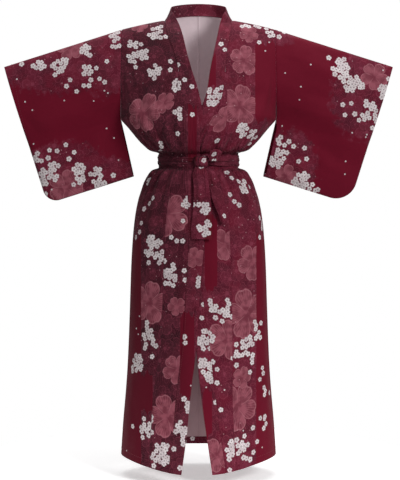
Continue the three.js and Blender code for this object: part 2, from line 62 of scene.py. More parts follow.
# height, half width, depth in front, depth behind
SECTIONS = np.array([
    (-1241, 222, 151, 142), (-1190, 219, 149, 142), (-1135, 215, 146, 141), (-1066, 209, 142, 140),
    (-996, 204, 138, 139), (-910, 200, 134, 137), (-824, 197, 131, 136), (-700, 193, 127, 134),
    (-616, 188, 124, 131), (-560, 182, 121, 128), (-513, 173, 118, 123), (-487, 165, 116, 118),
    (-461, 156, 114, 112), (-444, 147, 112, 106), (-427, 133, 107, 99), (-420, 114, 96, 88),
    (-399, 114, 96, 88), (-378, 114, 96, 88), (-371, 138, 113, 95), (-357, 156, 122, 98),
    (-340, 173, 127, 101), (-323, 187, 129, 103), (-305, 202, 129, 104), (-282, 222.9, 128, 104)])
# angle from the ridge, half armhole in front and behind, fullness between the armholes
RISES = np.array([(0, 0, 0, 1.3), (12, 11, 9, 1.3), (25, 22, 18, 1.3), (38, 31, 26, 1.3),
                  (52, 38, 32, 1.2), (65, 41, 34, 1.05), (78, 33, 27, 0.85), (90, 14, 12, 0.7)])
# height, then distance from the middle: the lapping front's free edge, band seam and overlap
# seam, and the same three of the front below it
EDGES = np.array([
    (-1241, -46, -82, -138, 38, 75, 102), (-1135, -31, -68, -131, 21, 58, 98),
    (-1066, -24, -62, -126, 11, 49, 95), (-996, -16, -54, -118, 2, 40, 94),
    (-905, -4, -43, -104, -8, 30, 94), (-766, 4, -34, -98, -30, 9, 92),
    (-616, 15, -26, -92, -50, -9, 86), (-487, 13, -29, -76, -55, -13, 74),
    (-420, 8, -32, -60, -53, -12, 56), (-378, 4, -36, -62, -45, -4, 58),
    (-316, 4, -40, -72, -20, 22, 74), (-282, 12, -41, -72, -2, 42, 80),
    (-222, 1, -44, -60, 22, 66, 80), (-159, -18, -54, -56, 32, 74, 76),
    (-103, -33, -68, -68, 43, 79, 79), (-53, -44, -85, -85, 53, 86, 86), (5, -62, -97, -97, 64, 97, 97)])


def ease(t, start, end, leave, arrive, pull, push):
    """A smooth step from start to end that leaves and arrives along the given slopes."""
    return ((2 * t**3 - 3 * t**2 + 1) * start + (t**3 - 2 * t**2 + t) * pull * leave
            + (3 * t**2 - 2 * t**3) * end + (t**3 - t**2) * push * arrive)


def curve_through(places, values):
    """A smooth curve through a table's points that never swings past them."""
    x, y = np.asarray(places, float), np.asarray(values, float)
    gap = np.diff(x)
    slope = np.diff(y) / gap
    lean = np.zeros_like(y)
    lean[0], lean[-1] = slope[0], slope[-1]
    with np.errstate(divide="ignore", invalid="ignore"):
        one, two = 2 * gap[1:] + gap[:-1], gap[1:] + 2 * gap[:-1]
        mean = (one + two) / (one / slope[:-1] + two / slope[1:])
    lean[1:-1] = np.where(slope[:-1] * slope[1:] > 0, mean, 0)

    def at(place):
        p = np.clip(place, x[0], x[-1])
        i = np.clip(np.searchsorted(x, p) - 1, 0, len(gap) - 1)
        t = (p - x[i]) / gap[i]
        return ease(t, y[i], y[i + 1], lean[i], lean[i + 1], gap[i], gap[i])
    return at


half_at, front_at, back_at = (curve_through(SECTIONS[:, 0], SECTIONS[:, i]) for i in (1, 2, 3))
rise_front, rise_back, rise_full = (curve_through(RISES[:, 0], RISES[:, i]) for i in (1, 2, 3))
edge_at = {name: curve_through(EDGES[:, 0], EDGES[:, i + 1]) for i, name in enumerate(
    ("over_free", "over_seam", "over_panel", "under_free", "under_seam", "under_panel"))}
print("waist", 2 * half_at(BELT_Z), "mm wide, hem", 2 * half_at(HEM), "mm wide")

# %% [markdown]
# ## Folds that the belt gathers
# A belt pulls the round cloth in, so the spare cloth stands up in soft ridges that fade with
# distance. Real ones differ in length, height and spacing, so each ridge has its own line:
# where it starts round the waist, how it leans, how wide it is, and how high and long it is
# above and below the belt. Long shallow waves run on down the skirt. The robe's hidden back
# has ridges like those in front.

# %% Fold tables
# degrees round, lean above and below, width, height and reach above, height and reach below
FOLDS = [
    (-70, -6, -3, 5, 4, 60, 4, 90), (-55, -9, -4, 5, 7, 95, 7, 140), (-40, -10, -3, 5, 8, 75, 8, 230),
    (-25, -8, -2, 5, 7, 110, 5, 130), (-10, -5, 0, 4, 4, 60, 5, 190), (7, 4, 2, 4, 5, 80, 4, 110),
    (22, 7, 3, 5, 6, 120, 5, 200), (37, 9, 3, 5, 7, 75, 6, 130), (52, 9, 4, 6, 8, 105, 8, 170),
    (70, 6, 3, 5, 4, 60, 4, 80), (104, 3, 4, 6, 6, 80, 6, 120), (121, 5, 3, 6, 8, 110, 8, 190),
    (138, 4, 2, 6, 6, 70, 7, 110), (154, 4, 1, 6, 8, 130, 9, 230), (171, 1, 1, 6, 6, 90, 6, 140),
    (188, -2, -1, 6, 8, 110, 9, 210), (205, -4, -2, 6, 6, 70, 6, 130),
    (222, -5, -3, 6, 8, 120, 8, 180), (239, -4, -3, 6, 6, 90, 7, 110), (256, -3, -4, 6, 5, 70, 5, 80)]
# finer creases between the ridges: degrees, lean, width, depth, reach above, reach below
CREASES = [(-63, -7, 2.5, 5.3, 45, 69), (-48, -9, 2.7, 6.6, 60, 98), (-33, -9, 2.5, 7.0, 70, 115),
           (-18, -6, 2.3, 5.7, 50, 103), (-3, -2, 2.3, 4.4, 40, 138), (14, 5, 2.5, 6.2, 65, 80),
           (29, 8, 2.5, 6.6, 60, 109), (45, 9, 2.7, 7.0, 75, 92), (61, 8, 2.5, 5.3, 45, 75),
           (112, 4, 2.9, 6.6, 60, 92), (130, 4, 2.7, 7.0, 70, 103), (146, 3, 2.7, 6.6, 55, 126),
           (163, 2, 2.7, 7.0, 80, 115), (180, 0, 2.7, 6.6, 60, 138), (197, -2, 2.7, 7.0, 70, 103),
           (214, -4, 2.7, 6.6, 60, 115), (231, -4, 2.7, 7.0, 75, 92), (248, -4, 2.7, 5.7, 50, 80)]
# long soft waves of the skirt: degrees, width, height, middle height, half reach
WAVES = [(-62, 9, 2.5, -880, 330), (-38, 8, -2.5, -980, 300), (-15, 7, 2.0, -850, 260),
         (20, 9, 2.2, -900, 300), (43, 8, -2.6, -1000, 320), (66, 8, 2.4, -860, 300),
         (110, 10, 3.2, -900, 330), (134, 9, -3.0, -980, 300), (158, 10, 3.4, -930, 330),
         (184, 9, -3.0, -900, 330), (207, 10, 3.2, -960, 320), (232, 9, -3.0, -900, 300),
         (254, 8, 2.4, -950, 300)]
# drags on the chest: degrees at the low end, degrees at the high end, low and high height,
# width in degrees, height
DRAGS = [(-46, -72, -335, -150, 6, 5.0), (-30, -55, -330, -190, 5, -3.0), (-62, -78, -300, -120, 5, -4.5),
         (44, 70, -330, -160, 6, 4.0), (28, 50, -320, -200, 5, -2.6), (60, 76, -300, -130, 5, -3.4),
         (124, 106, -320, -160, 6, 4.0), (236, 254, -320, -160, 6, 4.0), (150, 138, -330, -120, 7, -3.0),
         (210, 222, -330, -130, 7, 3.0), (181, 179, -330, -150, 7, 3.5)]


def smooth(value, low, high):
    t = np.clip((value - low) / (high - low), 0, 1)
    return t * t * (3 - 2 * t)


def bell(value, width):
    """One at zero, and falling away softly over about the given width on both sides."""
    return np.exp(-((value / width) ** 2))


def turned(degrees, at):
    """Degrees from a place on the round, the short way."""
    return (degrees - at + 180) % 360 - 180


def fold_height(degrees, z):
    """How far the folds lift the cloth off its smooth form; creases and some waves go in."""
    above = z - (BELT_Z + BELT_TALL / 2 + 3)
    below = (BELT_Z - BELT_TALL / 2 - 3) - z
    high, low = np.clip(above, 0, None), np.clip(below, 0, None)
    total = np.zeros(np.broadcast(degrees, z).shape)
    for at, lean_up, lean_down, width, up, up_reach, down, down_reach in FOLDS:
        top = bell(turned(degrees, at + lean_up * high / 100), width + high / 60)
        foot = bell(turned(degrees, at + lean_down * low / 100), width + low / 70)
        total += up * top * smooth(above, 0, 12) * bell(high, up_reach)
        total += down * foot * smooth(below, 0, 14) * bell(low, down_reach)
    for at, lean, width, deep, up_reach, down_reach in CREASES:
        top = bell(turned(degrees, at + lean * high / 100), width + high / 90)
        foot = bell(turned(degrees, at + 0.4 * lean * low / 100), width + low / 90)
        total -= deep * top * smooth(above, 0, 9) * bell(high, up_reach)
        total -= deep * foot * smooth(below, 0, 9) * bell(low, down_reach)
    for at, width, tall, middle, reach in WAVES:
        total += tall * bell(turned(degrees, at), width) * np.exp(-(((z - middle) / reach) ** 4))
    for at_low, at_high, low_z, high_z, width, tall in DRAGS:
        part = (z - low_z) / (high_z - low_z)
        line = bell(turned(degrees, at_low + (at_high - at_low) * part), width)
        total += tall * line * smooth(part, -0.15, 0.25) * smooth(-part, -1.15, -0.7)
    return total


print(len(FOLDS), "ridges,", len(CREASES), "creases,", len(WAVES), "skirt waves,", len(DRAGS), "drags")

# %% [markdown]
# ## From tables to points
# These few functions turn a row and an angle into a point of the cloth. The same functions
# serve every panel, so neighbouring panels meet along their seams with no fitting. Near a seam
# the cloth dips a little, as it does where the stitches pull it in.

# %% Surface functions


def shoulder_height(x):
    past = np.abs(x) - NECK_X
    fall = np.where(past > 0, 0.16 * past + 6 * (past / (ARM_X - NECK_X)) ** 2, 0.1 * past)
    return SHOULDER_Z - fall


def tilt_at(z):
    """How far the belt, and the cloth near it, hangs lower in front than behind."""
    return BELT_TILT * bell(z - BELT_Z, 75)


def ring_point(z, degrees, out=0.0, plain=False):
    """A point below the underarm, by height and degrees round from the front middle."""
    angle = np.radians(degrees)
    facing, side = np.cos(angle), np.sin(angle)
    half = half_at(z)
    depth = np.where(facing > 0, front_at(z), back_at(z))
    normal = np.stack([side / half, -facing / depth])
    normal /= np.linalg.norm(normal, axis=0)
    push = out + (0 if plain else fold_height(degrees, z))
    low = np.clip((HIP - z) / (HIP - HEM), 0, 1)
    drop = tilt_at(z) * facing + HEM_DIP * np.clip(facing, 0, None) ** 3 * low ** 1.5
    return np.stack([half * side + normal[0] * push, -depth * facing + normal[1] * push, z - drop], -1)


def arm_x(turn):
    return ARM_X + 3.3 * (1 - np.cos(np.radians(turn))) ** 2


def rise_depth(turn, x, depth, opening, half):
    share = np.clip(np.abs(x) / arm_x(turn), 0, 1)
    between = np.cos(np.pi / 2 * share)
    reach = depth * np.sin(np.radians(turn))
    worn = opening + (reach - opening) * between ** rise_full(turn)
    ring = reach * np.sqrt(np.clip(1 - (x / half) ** 2, 0, 1))
    return worn + (ring - worn) * smooth(turn, 74, 90)


def rise_z(turn, x):
    top = shoulder_height(x)
    return top + (UNDERARM - top) * (1 - np.cos(np.radians(turn)))


def front_point(row, degrees, out=0.0):
    kind, value = row
    if kind == "ring":
        return ring_point(value, degrees, out)
    reach = arm_x(value) / math.sin(math.radians(ARM_ANGLE))
    x = reach * np.sin(np.radians(degrees))
    z = rise_z(value, x)
    depth = rise_depth(value, x, front_at(UNDERARM), rise_front(value), half_at(UNDERARM))
    push = out + fold_height(degrees, z) * smooth(value, 15, 60) * smooth(96 - np.abs(degrees), 6, 30)
    return np.stack([x, -depth - push, z - tilt_at(z) * np.cos(np.radians(degrees))], -1)


def neckline(part):
    """Round the back of the neck, from the wearer's left shoulder point (0) to the right (1)."""
    angle = np.pi * part
    climb = NECK_RISE * np.clip(np.sin(angle), 0, None) ** 1.2
    return np.stack([NECK_X * np.cos(angle), NECK_BACK * np.sin(angle), SHOULDER_Z + climb], -1)


SHOULDER_SHARE = 5 / 26        # how much of the back's width each shoulder seam takes


def back_point(row, degrees, part):
    """A point of the back; part runs from the wearer's left side (0) to the right (1)."""
    kind, value = row
    if kind == "ring":
        return ring_point(value, degrees)
    left, right = part < SHOULDER_SHARE, part > 1 - SHOULDER_SHARE
    share = np.clip(np.where(left, part, 1 - part) / SHOULDER_SHARE, 0, 1)
    x_top = (ARM_X + (NECK_X - ARM_X) * share) * np.where(part < 0.5, 1, -1)
    flat_top = np.stack([x_top, np.full_like(x_top, 0.4), shoulder_height(x_top)], -1)
    round_top = neckline((part - SHOULDER_SHARE) / (1 - 2 * SHOULDER_SHARE))
    top = np.where((left | right)[:, None], flat_top, round_top)
    near, turn = math.cos(math.radians(value)), math.radians(value)
    reach = arm_x(value) / math.sin(math.radians(ARM_ANGLE))
    x = reach * np.sin(np.radians(degrees))
    x = x + (top[:, 0] - x) * near ** 1.5
    depth = rise_depth(value, x, back_at(UNDERARM), rise_back(value), half_at(UNDERARM))
    z = UNDERARM + (top[:, 2] - UNDERARM) * near
    push = fold_height(degrees, z) * smooth(value, 15, 60) * smooth(np.abs(turned(degrees, 0)), 96, 120)
    y = depth + top[:, 1] * (1 - math.sin(turn)) + push
    return np.stack([x, y, z - tilt_at(z) * np.cos(np.radians(degrees))], -1)


def rows_between(low, high, step):
    return [("ring", z) for z in np.linspace(low, high, max(2, round((high - low) / step) + 1))]


def body_rows(top_turn=0.0, step=5.0):
    """Rows from the hem to the shoulder, closer together at the hem and at the belt."""
    rows = rows_between(HEM, HEM + 24, 3.0)[:-1] + rows_between(HEM + 24, -450, step)[:-1]
    rows += rows_between(-450, -345, 2.5)[:-1] + rows_between(-345, UNDERARM, step)[:-1]
    turns = np.linspace(90, top_turn, max(2, round((90 - top_turn) / 90 * 66)))
    return rows + [("rise", t) for t in turns]


def degrees_at(row, x):
    kind, value = row
    half = half_at(value) if kind == "ring" else arm_x(value) / math.sin(math.radians(ARM_ANGLE))
    return math.degrees(math.asin(max(-1.0, min(1.0, x / half))))


def height_of(row):
    kind, value = row
    return float(value) if kind == "ring" else float(rise_z(value, 60.0))


def side_degrees(row):
    kind, value = row
    if kind == "rise":
        return ARM_ANGLE
    return float(88.5 + (SIDE_ANGLE - 88.5) * smooth(-value, 300, 460)) if value < UNDERARM else ARM_ANGLE


def lap_out(degrees, z):
    return LAP * smooth(degrees, -62, -38) * smooth(-z, 150, 232)


def spread_parts(count):
    """Places across a panel, 0 to 1, with two extra close ones at each sewn edge."""
    parts = list(np.linspace(0, 1, count + 1))
    step = parts[1]
    parts[1:1] = [0.22 * step, 0.55 * step]
    parts[-1:-1] = [1 - 0.55 * step, 1 - 0.22 * step]
    return np.array(parts)


def seam_dip(parts, width, deep=1.3, near=2.6):
    """How far the cloth dips beside the seams at its two edges."""
    return -deep * bell(parts * width, near) - deep * bell((1 - parts) * width, near)


print("rows of a full panel", len(body_rows()))

# %% [markdown]
# ## A cloth shell from a grid of points
# Cloth is two faces with a thin edge between them. The shell's outside takes the printed
# finish and its inside the pale reverse, as on cloth that is printed on one side. Each face
# knows how far along and across the cloth it lies, in metres, so that a weave or a blossom
# keeps its size where the cloth bends. Where a hem is turned up, or a band is folded, the
# shell gets thicker and shows the print inside as well.

# %% Shell maker
MM = 0.001
CLOTH = 1.1
pieces = {}


def closed(grid, ring):
    """A ring's grid with its first column again at the end."""
    return np.concatenate([grid, grid[:, :1]], 1) if ring else grid


def face_corners(values):
    """The values at the four corners of every face of a grid."""
    return np.stack([values[:-1, :-1], values[:-1, 1:], values[1:, 1:], values[1:, :-1]], 2)


def grid_normals(grid, ring):
    along = np.roll(grid, -1, 1) - np.roll(grid, 1, 1) if ring else np.gradient(grid, axis=1)
    up = np.gradient(grid, axis=0)
    normal = np.cross(along, up)
    return normal / np.maximum(np.linalg.norm(normal, axis=2, keepdims=True), 1e-9)


def cloth_lengths(grid, ring, anchor=0.0):
    """Distance across (from the anchor column) and up the cloth, for every grid point."""
    steps = np.linalg.norm(np.diff(closed(grid, ring), axis=1), axis=2)
    across = np.concatenate([np.zeros((len(grid), 1)), np.cumsum(steps, 1)], 1)
    across -= across[:, round(anchor * (across.shape[1] - 1))][:, None]
    rise = np.linalg.norm(np.diff(grid, axis=0), axis=2).mean(1)
    up = np.repeat(np.concatenate([[0], np.cumsum(rise)])[:, None], across.shape[1], 1)
    return across, up


def cloth_shell(name, grid, printed_inside, ring=False, outside=CLOTH / 2, inside=CLOTH / 2, anchor=0.0,
                flat=None):
    """A closed thin shell about a grid (rows, columns, 3) in millimetres."""
    grid = np.asarray(grid, float)
    rows, cols = grid.shape[:2]
    normal = grid_normals(grid, ring)
    thick = [np.broadcast_to(side, (rows, cols))[..., None] for side in (outside, inside)]
    points = np.concatenate([(grid + normal * thick[0]).reshape(-1, 3),
                             (grid - normal * thick[1]).reshape(-1, 3)]) * MM
    quads = cols if ring else cols - 1
    r, c = np.meshgrid(np.arange(rows - 1), np.arange(quads), indexing="ij")
    n = (c + 1) % cols
    corner = [r * cols + c, r * cols + n, (r + 1) * cols + n, (r + 1) * cols + c]
    outer = np.stack(corner, -1).reshape(-1, 4)
    inner = np.stack(corner[::-1], -1).reshape(-1, 4) + rows * cols
    edge, side, rims = np.arange(quads), np.arange(rows - 1), []
    borders = [(row * cols + edge, row * cols + (edge + 1) % cols, flip)
               for row, flip in ((0, True), (rows - 1, False))]
    if not ring:
        borders += [(side * cols + col, (side + 1) * cols + col, flip)
                    for col, flip in ((0, False), (cols - 1, True))]
    for a, b, flip in borders:
        strip = np.stack([a, b, b + rows * cols, a + rows * cols], -1)
        rims.append(strip[:, ::-1] if flip else strip)
    faces = np.concatenate([outer, inner, *rims])
    mesh = bpy.data.meshes.new(name)
    mesh.from_pydata(points.tolist(), [], faces.tolist())
    mesh.polygons.foreach_set("use_smooth", np.ones(len(faces), bool))
    across, up = flat or cloth_lengths(grid, ring, anchor)
    of_face = face_corners(np.stack([across, up], -1))[:, :quads].reshape(-1, 4, 2)
    rest = np.zeros((len(faces) - 2 * len(outer), 4, 2))
    lie = np.concatenate([of_face, of_face[:, ::-1], rest]) * MM
    mesh.uv_layers.new(name="cloth").data.foreach_set("uv", lie.astype(np.float32).ravel())
    kinds = np.zeros(len(faces), np.int32)
    kinds[len(outer):2 * len(outer)] = ~printed_inside[:-1, :quads].reshape(-1)
    mesh.polygons.foreach_set("material_index", kinds)
    mesh.set_sharp_from_angle(angle=math.radians(50))
    mesh.update()
    piece = bpy.data.objects.new(name, mesh)
    scene.collection.objects.link(piece)
    whole = closed(grid, ring)
    size = np.cross(whole[1:, :-1] - whole[:-1, :-1], whole[:-1, 1:] - whole[:-1, :-1])
    size = np.linalg.norm(size, axis=2).sum()
    pieces[name] = {"object": piece, "laid": flat is not None, "grid": grid, "normal": normal,
                    "across": across, "up": up, "quads": quads, "ring": ring,
                    "outer": len(outer), "faces": len(faces),
                    "wide": float((across.max(1) - across.min(1)).max()) * MM,
                    "long": float(up.max()) * MM, "area": float(size) * MM * MM}
    print(f"{name}: {rows} x {cols} points, {len(faces) * 2} triangles, "
          f"{pieces[name]['wide']:.3f} by {pieces[name]['long']:.3f} m of cloth")
    return piece


# %% [markdown]
# ## The body: two halves of the back and two fronts
# A yukata's back is two lengths of cloth with a seam down the middle. Each front is a panel, a
# narrow overlap and its share of the long collar band. The wearer's right front laps over, so
# it lies a little further out. The hem is turned up inside by the width of a thumb, which makes
# the last rows thicker and shows the printed side inside.

# %% Back halves
HEM_TURN, HEM_EXTRA = 19.0, 1.2        # height of the turned-up hem, and the cloth it adds
BACK_WIDTH, BACK_COLUMNS = 320, 62
FRONT_COLUMNS, OVERLAP_COLUMNS = 60, 17


def in_hem(row, tall=HEM_TURN):
    return row[0] == "ring" and row[1] <= HEM + tall


def hem_inside(rows, cols):
    """Inner thickness and printed mask of a panel with its hem turned up."""
    turned_up = np.array([in_hem(row) for row in rows])
    deep = np.where(turned_up, CLOTH / 2 + HEM_EXTRA, CLOTH / 2)
    return np.repeat(deep[:, None], cols, 1), np.repeat(turned_up[:, None], cols, 1)


def dipped(grid, parts, width):
    return grid + grid_normals(grid, False) * seam_dip(parts, width)[None, :, None]


def back_half(hand):
    """One half of the back; hand is 1 for the wearer's left and -1 for the right."""
    rows = body_rows()
    half = spread_parts(BACK_COLUMNS) / 2
    parts = half if hand > 0 else 0.5 + half
    grid = []
    for row in rows:
        start = 180 - ARM_ANGLE if row[0] == "rise" or row[1] >= UNDERARM else side_degrees(row)
        grid.append(back_point(row, start + (360 - 2 * start) * parts, parts))
    grid = dipped(np.array(grid), half * 2, BACK_WIDTH)
    deep, printed = hem_inside(rows, len(parts))
    name = "back_left_cloth" if hand > 0 else "back_right_cloth"
    return cloth_shell(name, grid, printed, inside=deep, anchor=1.0 if hand > 0 else 0.0)


for hand in (1, -1):
    back_half(hand)

# %% [markdown]
# ## Fronts and overlaps
# A front piece fills the space between two edges, and each edge is a line of degrees, one for
# every row. The edges come from the table, so the lapping piece and the one below it differ
# only in their lines and in how far out they lie.

# %% Fronts and overlaps


def front_piece(name, rows, count, outer, inner, over):
    """A panel or an overlap between two edges; over says whether it laps over the other."""
    parts = spread_parts(count)
    grid = []
    for row in rows:
        degrees = outer(row) + (inner(row) - outer(row)) * parts
        grid.append(front_point(row, degrees, lap_out(degrees, height_of(row)) if over else 0.0))
    grid = np.array(grid)
    if not over:
        grid = grid[:, ::-1]
    width = np.linalg.norm(grid[0, -1] - grid[0, 0])
    grid = dipped(grid, parts, width)
    deep, printed = hem_inside(rows, len(parts))
    return cloth_shell(name, grid, printed, inside=deep, anchor=1.0 if over else 0.0)


def edge_degrees(name):
    return lambda row: degrees_at(row, float(edge_at[name](height_of(row))))


OVERLAP_TOP = 65.0             # the overlaps end where the band meets the panel
front_piece("front_right_cloth", body_rows(), FRONT_COLUMNS, lambda row: -side_degrees(row),
            edge_degrees("over_panel"), True)
front_piece("front_left_cloth", body_rows(), FRONT_COLUMNS, side_degrees, edge_degrees("under_panel"), False)
for name, edge, over in (("overlap_right_cloth", "over", True), ("overlap_left_cloth", "under", False)):
    front_piece(name, body_rows(OVERLAP_TOP), OVERLAP_COLUMNS, edge_degrees(edge + "_panel"),
                edge_degrees(edge + "_seam"), over)

# %% [markdown]
# ## The collar band
# One long strip, folded double, runs from the hem up the front edge, round the back of the neck
# and down the other front. It is firmer than the rest, so it is thicker, with a rounded free
# edge, and both of its faces show the print.

# %% Collar band
BAND_STAND = 37.0


def front_neck(along):
    past, hand = (-along, 1) if along < 0 else (along - 1, -1)
    return np.array([hand * (NECK_X - 20 * past), -260 * past, SHOULDER_Z - 60 * past])


def band_side(over, parts, rows):
    seam_name, free_name = ("over_seam", "over_free") if over else ("under_seam", "under_free")
    grid = []
    for row in rows:
        seam, free = edge_degrees(seam_name)(row), edge_degrees(free_name)(row)
        degrees = seam + (free - seam) * parts
        grid.append(front_point(row, degrees, 0.5 + (lap_out(degrees, height_of(row)) if over else 0.0)))
    return grid


def band_neck(parts, count=90):
    grid = []
    for along in np.linspace(-0.09, 1.09, count):
        seam = neckline(np.array(along)) if 0 <= along <= 1 else front_neck(along)
        lean = min(1.0, math.sin(math.pi * min(1, max(0, along))) + 0.06)
        away = np.array([-np.sign(seam[0]) * (27 - 26 * lean ** 0.6), -4 + 9 * lean,
                         23 + (BAND_STAND - 23) * float(smooth(lean, 0.06, 0.5))])
        start = seam + away / np.linalg.norm(away) * 0.4
        bulge = 1.2 * np.sin(np.pi * parts)[:, None] * np.array([0, 1, 0])
        grid.append(start + away * parts[:, None] + bulge * lean)
    return grid


def join_bands(before, after, count=9):
    """A few rows that ease one stretch of the band into the next."""
    tail, head = before[-1] - before[-2], after[1] - after[0]
    span = np.linalg.norm(after[0] - before[-1], axis=1).mean()
    pull = span / max(1e-6, np.linalg.norm(tail, axis=1).mean())
    push = span / max(1e-6, np.linalg.norm(head, axis=1).mean())
    return [ease(t, before[-1], after[0], tail, head, pull, push)
            for t in np.linspace(0, 1, count + 2)[1:-1]]


def collar_band():
    parts = np.concatenate([np.linspace(0, 0.93, 11), [0.96, 0.985, 1.0]])
    sides = body_rows(22.0)
    over, under = band_side(True, parts, sides), band_side(False, parts, sides)[::-1]
    neck = band_neck(parts)[::-1]
    grid = over + join_bands(over, neck) + neck
    grid += join_bands(grid, under) + under
    grid = np.array(grid)
    dip = -1.0 * bell(parts * 40, 2.4)
    grid = grid + grid_normals(grid, False) * dip[None, :, None]
    thick = 1.25 * np.sqrt(np.clip(1 - ((parts - 0.93) / 0.075).clip(0) ** 2, 0.04, 1))
    return cloth_shell("collar_band_cloth", grid, np.ones(grid.shape[:2], bool), outside=thick, inside=thick)


collar_band()

# %% [markdown]
# ## Wide sleeves
# Each sleeve is one length of cloth, folded over the top of the arm. It is sewn to the body only
# round the armhole. Below the armhole its inner edge hangs free, and its outer edge is sewn up
# from the rounded corner to the foot of the cuff. A patch is stretched between the four edges:
# the inner edge, the cuff, the top fold and the bottom. The front and back layers bulge apart a
# little, as on an arm.

# %% Sleeves
SLEEVE_WIDE, SLEEVE_DEEP, CUFF, CUFF_HALF, SLEEVE_SLOPE = 357.0, 412.0, 235.0, 20.0, 17.6
SLEEVE_GAP, CUFF_TURN, CUFF_EXTRA = 0.5, 16, 1.0    # gap at the armhole; turned-in edge, its cloth
# soft folds: place down the sleeve at the armhole and at the cuff, width, height, and where
# along the sleeve they start and end; the front layer and the back one have their own
SLEEVE_FOLDS = {
    "front": [(0.10, 0.30, 0.07, 4.0, 0.0, 1.0), (0.45, 0.55, 0.08, 5.0, 0.0, 0.9),
              (0.68, 0.72, 0.07, -3.0, 0.0, 0.9), (0.62, 0.98, 0.06, 3.0, 0.02, 0.6),
              (0.30, 0.42, 0.05, -2.2, 0.0, 0.5), (0.20, 0.12, 0.05, 2.0, 0.1, 0.8)],
    "back": [(0.12, 0.26, 0.07, 4.0, 0.0, 1.0), (0.42, 0.58, 0.08, 5.0, 0.0, 0.9),
             (0.66, 0.75, 0.07, -3.0, 0.0, 0.9), (0.58, 0.95, 0.06, 3.2, 0.02, 0.7),
             (0.28, 0.44, 0.05, -2.2, 0.0, 0.6), (0.22, 0.10, 0.05, 2.0, 0.1, 0.8)]}
# upright folds that hang below the armhole: place along the sleeve, lean, width, height
HANGING = {"front": [(0.20, 0.06, 0.05, 4.0), (0.34, 0.05, 0.045, -2.6), (0.55, 0.04, 0.06, 2.2)],
           "back": [(0.16, 0.07, 0.05, 3.6), (0.30, 0.05, 0.05, -3.0), (0.50, 0.05, 0.06, 2.6)]}


def sleeve_frame(hand):
    slope = math.radians(SLEEVE_SLOPE)
    origin = np.array([hand * ARM_X, 0, float(shoulder_height(ARM_X))])
    along = np.array([hand * math.cos(slope), 0, -math.sin(slope)])
    down = np.array([-hand * math.sin(slope), 0, -math.cos(slope)])
    return origin, along, down


def sleeve_start(hand):
    """The inner edge: distance along and down the sleeve, and the depth of each layer."""
    origin, along, down = sleeve_frame(hand)
    table = []
    for turn in (0, 12, 25, 38, 52, 65, 78, 90):
        x = float(arm_x(turn))
        seam = np.array([hand * x, 0, float(rise_z(turn, x))]) - origin
        layers = float(rise_front(turn)) - 1, float(rise_back(turn)) - 1
        table.append((seam @ down, seam @ along + SLEEVE_GAP, *layers))
    table[0] = (0.0, table[0][1], 0.0, 0.0)
    low, corner = table[-1][0], table[-1][1]
    for part, half in ((0.28, 11), (0.56, 11), (0.82, 10), (0.97, 6), (1.0, 0.8)):
        table.append((low + (SLEEVE_DEEP - low) * part, corner + 14 * part, half, half))
    table = np.array(table)
    return [curve_through(table[:, 0], table[:, i]) for i in (1, 2, 3)], low, table[-1, 1]


def sleeve_foot(part, start_x, radius):
    """The lower edge: along the bottom, round the corner and up to the foot of the cuff."""
    bottom = SLEEVE_WIDE - radius - start_x
    corner, side = math.pi / 2 * radius, SLEEVE_DEEP - radius - CUFF
    length = part * (bottom + corner + side)
    if length < bottom:
        return start_x + length, SLEEVE_DEEP
    length -= bottom
    if length < corner:
        angle = length / radius
        return (SLEEVE_WIDE - radius + radius * math.sin(angle),
                SLEEVE_DEEP - radius + radius * math.cos(angle))
    return SLEEVE_WIDE, SLEEVE_DEEP - radius - (length - corner)


def layer_folds(along, share, side):
    """How far one layer's folds lift it, at a place along the sleeve, for each share down it."""
    lift = np.zeros_like(share)
    reach = math.sin(math.pi * min(1, along * 1.15)) ** 2
    for start, end, width, tall, first, last in SLEEVE_FOLDS[side]:
        place = start + (end - start) * along
        fade = float(smooth(along, first, first + 0.2)) * float(smooth(-along, -last - 0.1, -last + 0.2))
        lift += tall * reach * fade * bell(share - place, width)
    for place, lean, width, tall in HANGING[side]:
        middle = place + lean * (share - 0.6) * 2
        lift += tall * bell(along - middle, width) * smooth(share, 0.55, 0.85)
    return lift * smooth(share, 0, 0.06) * smooth(-share, -1.0, -0.94)


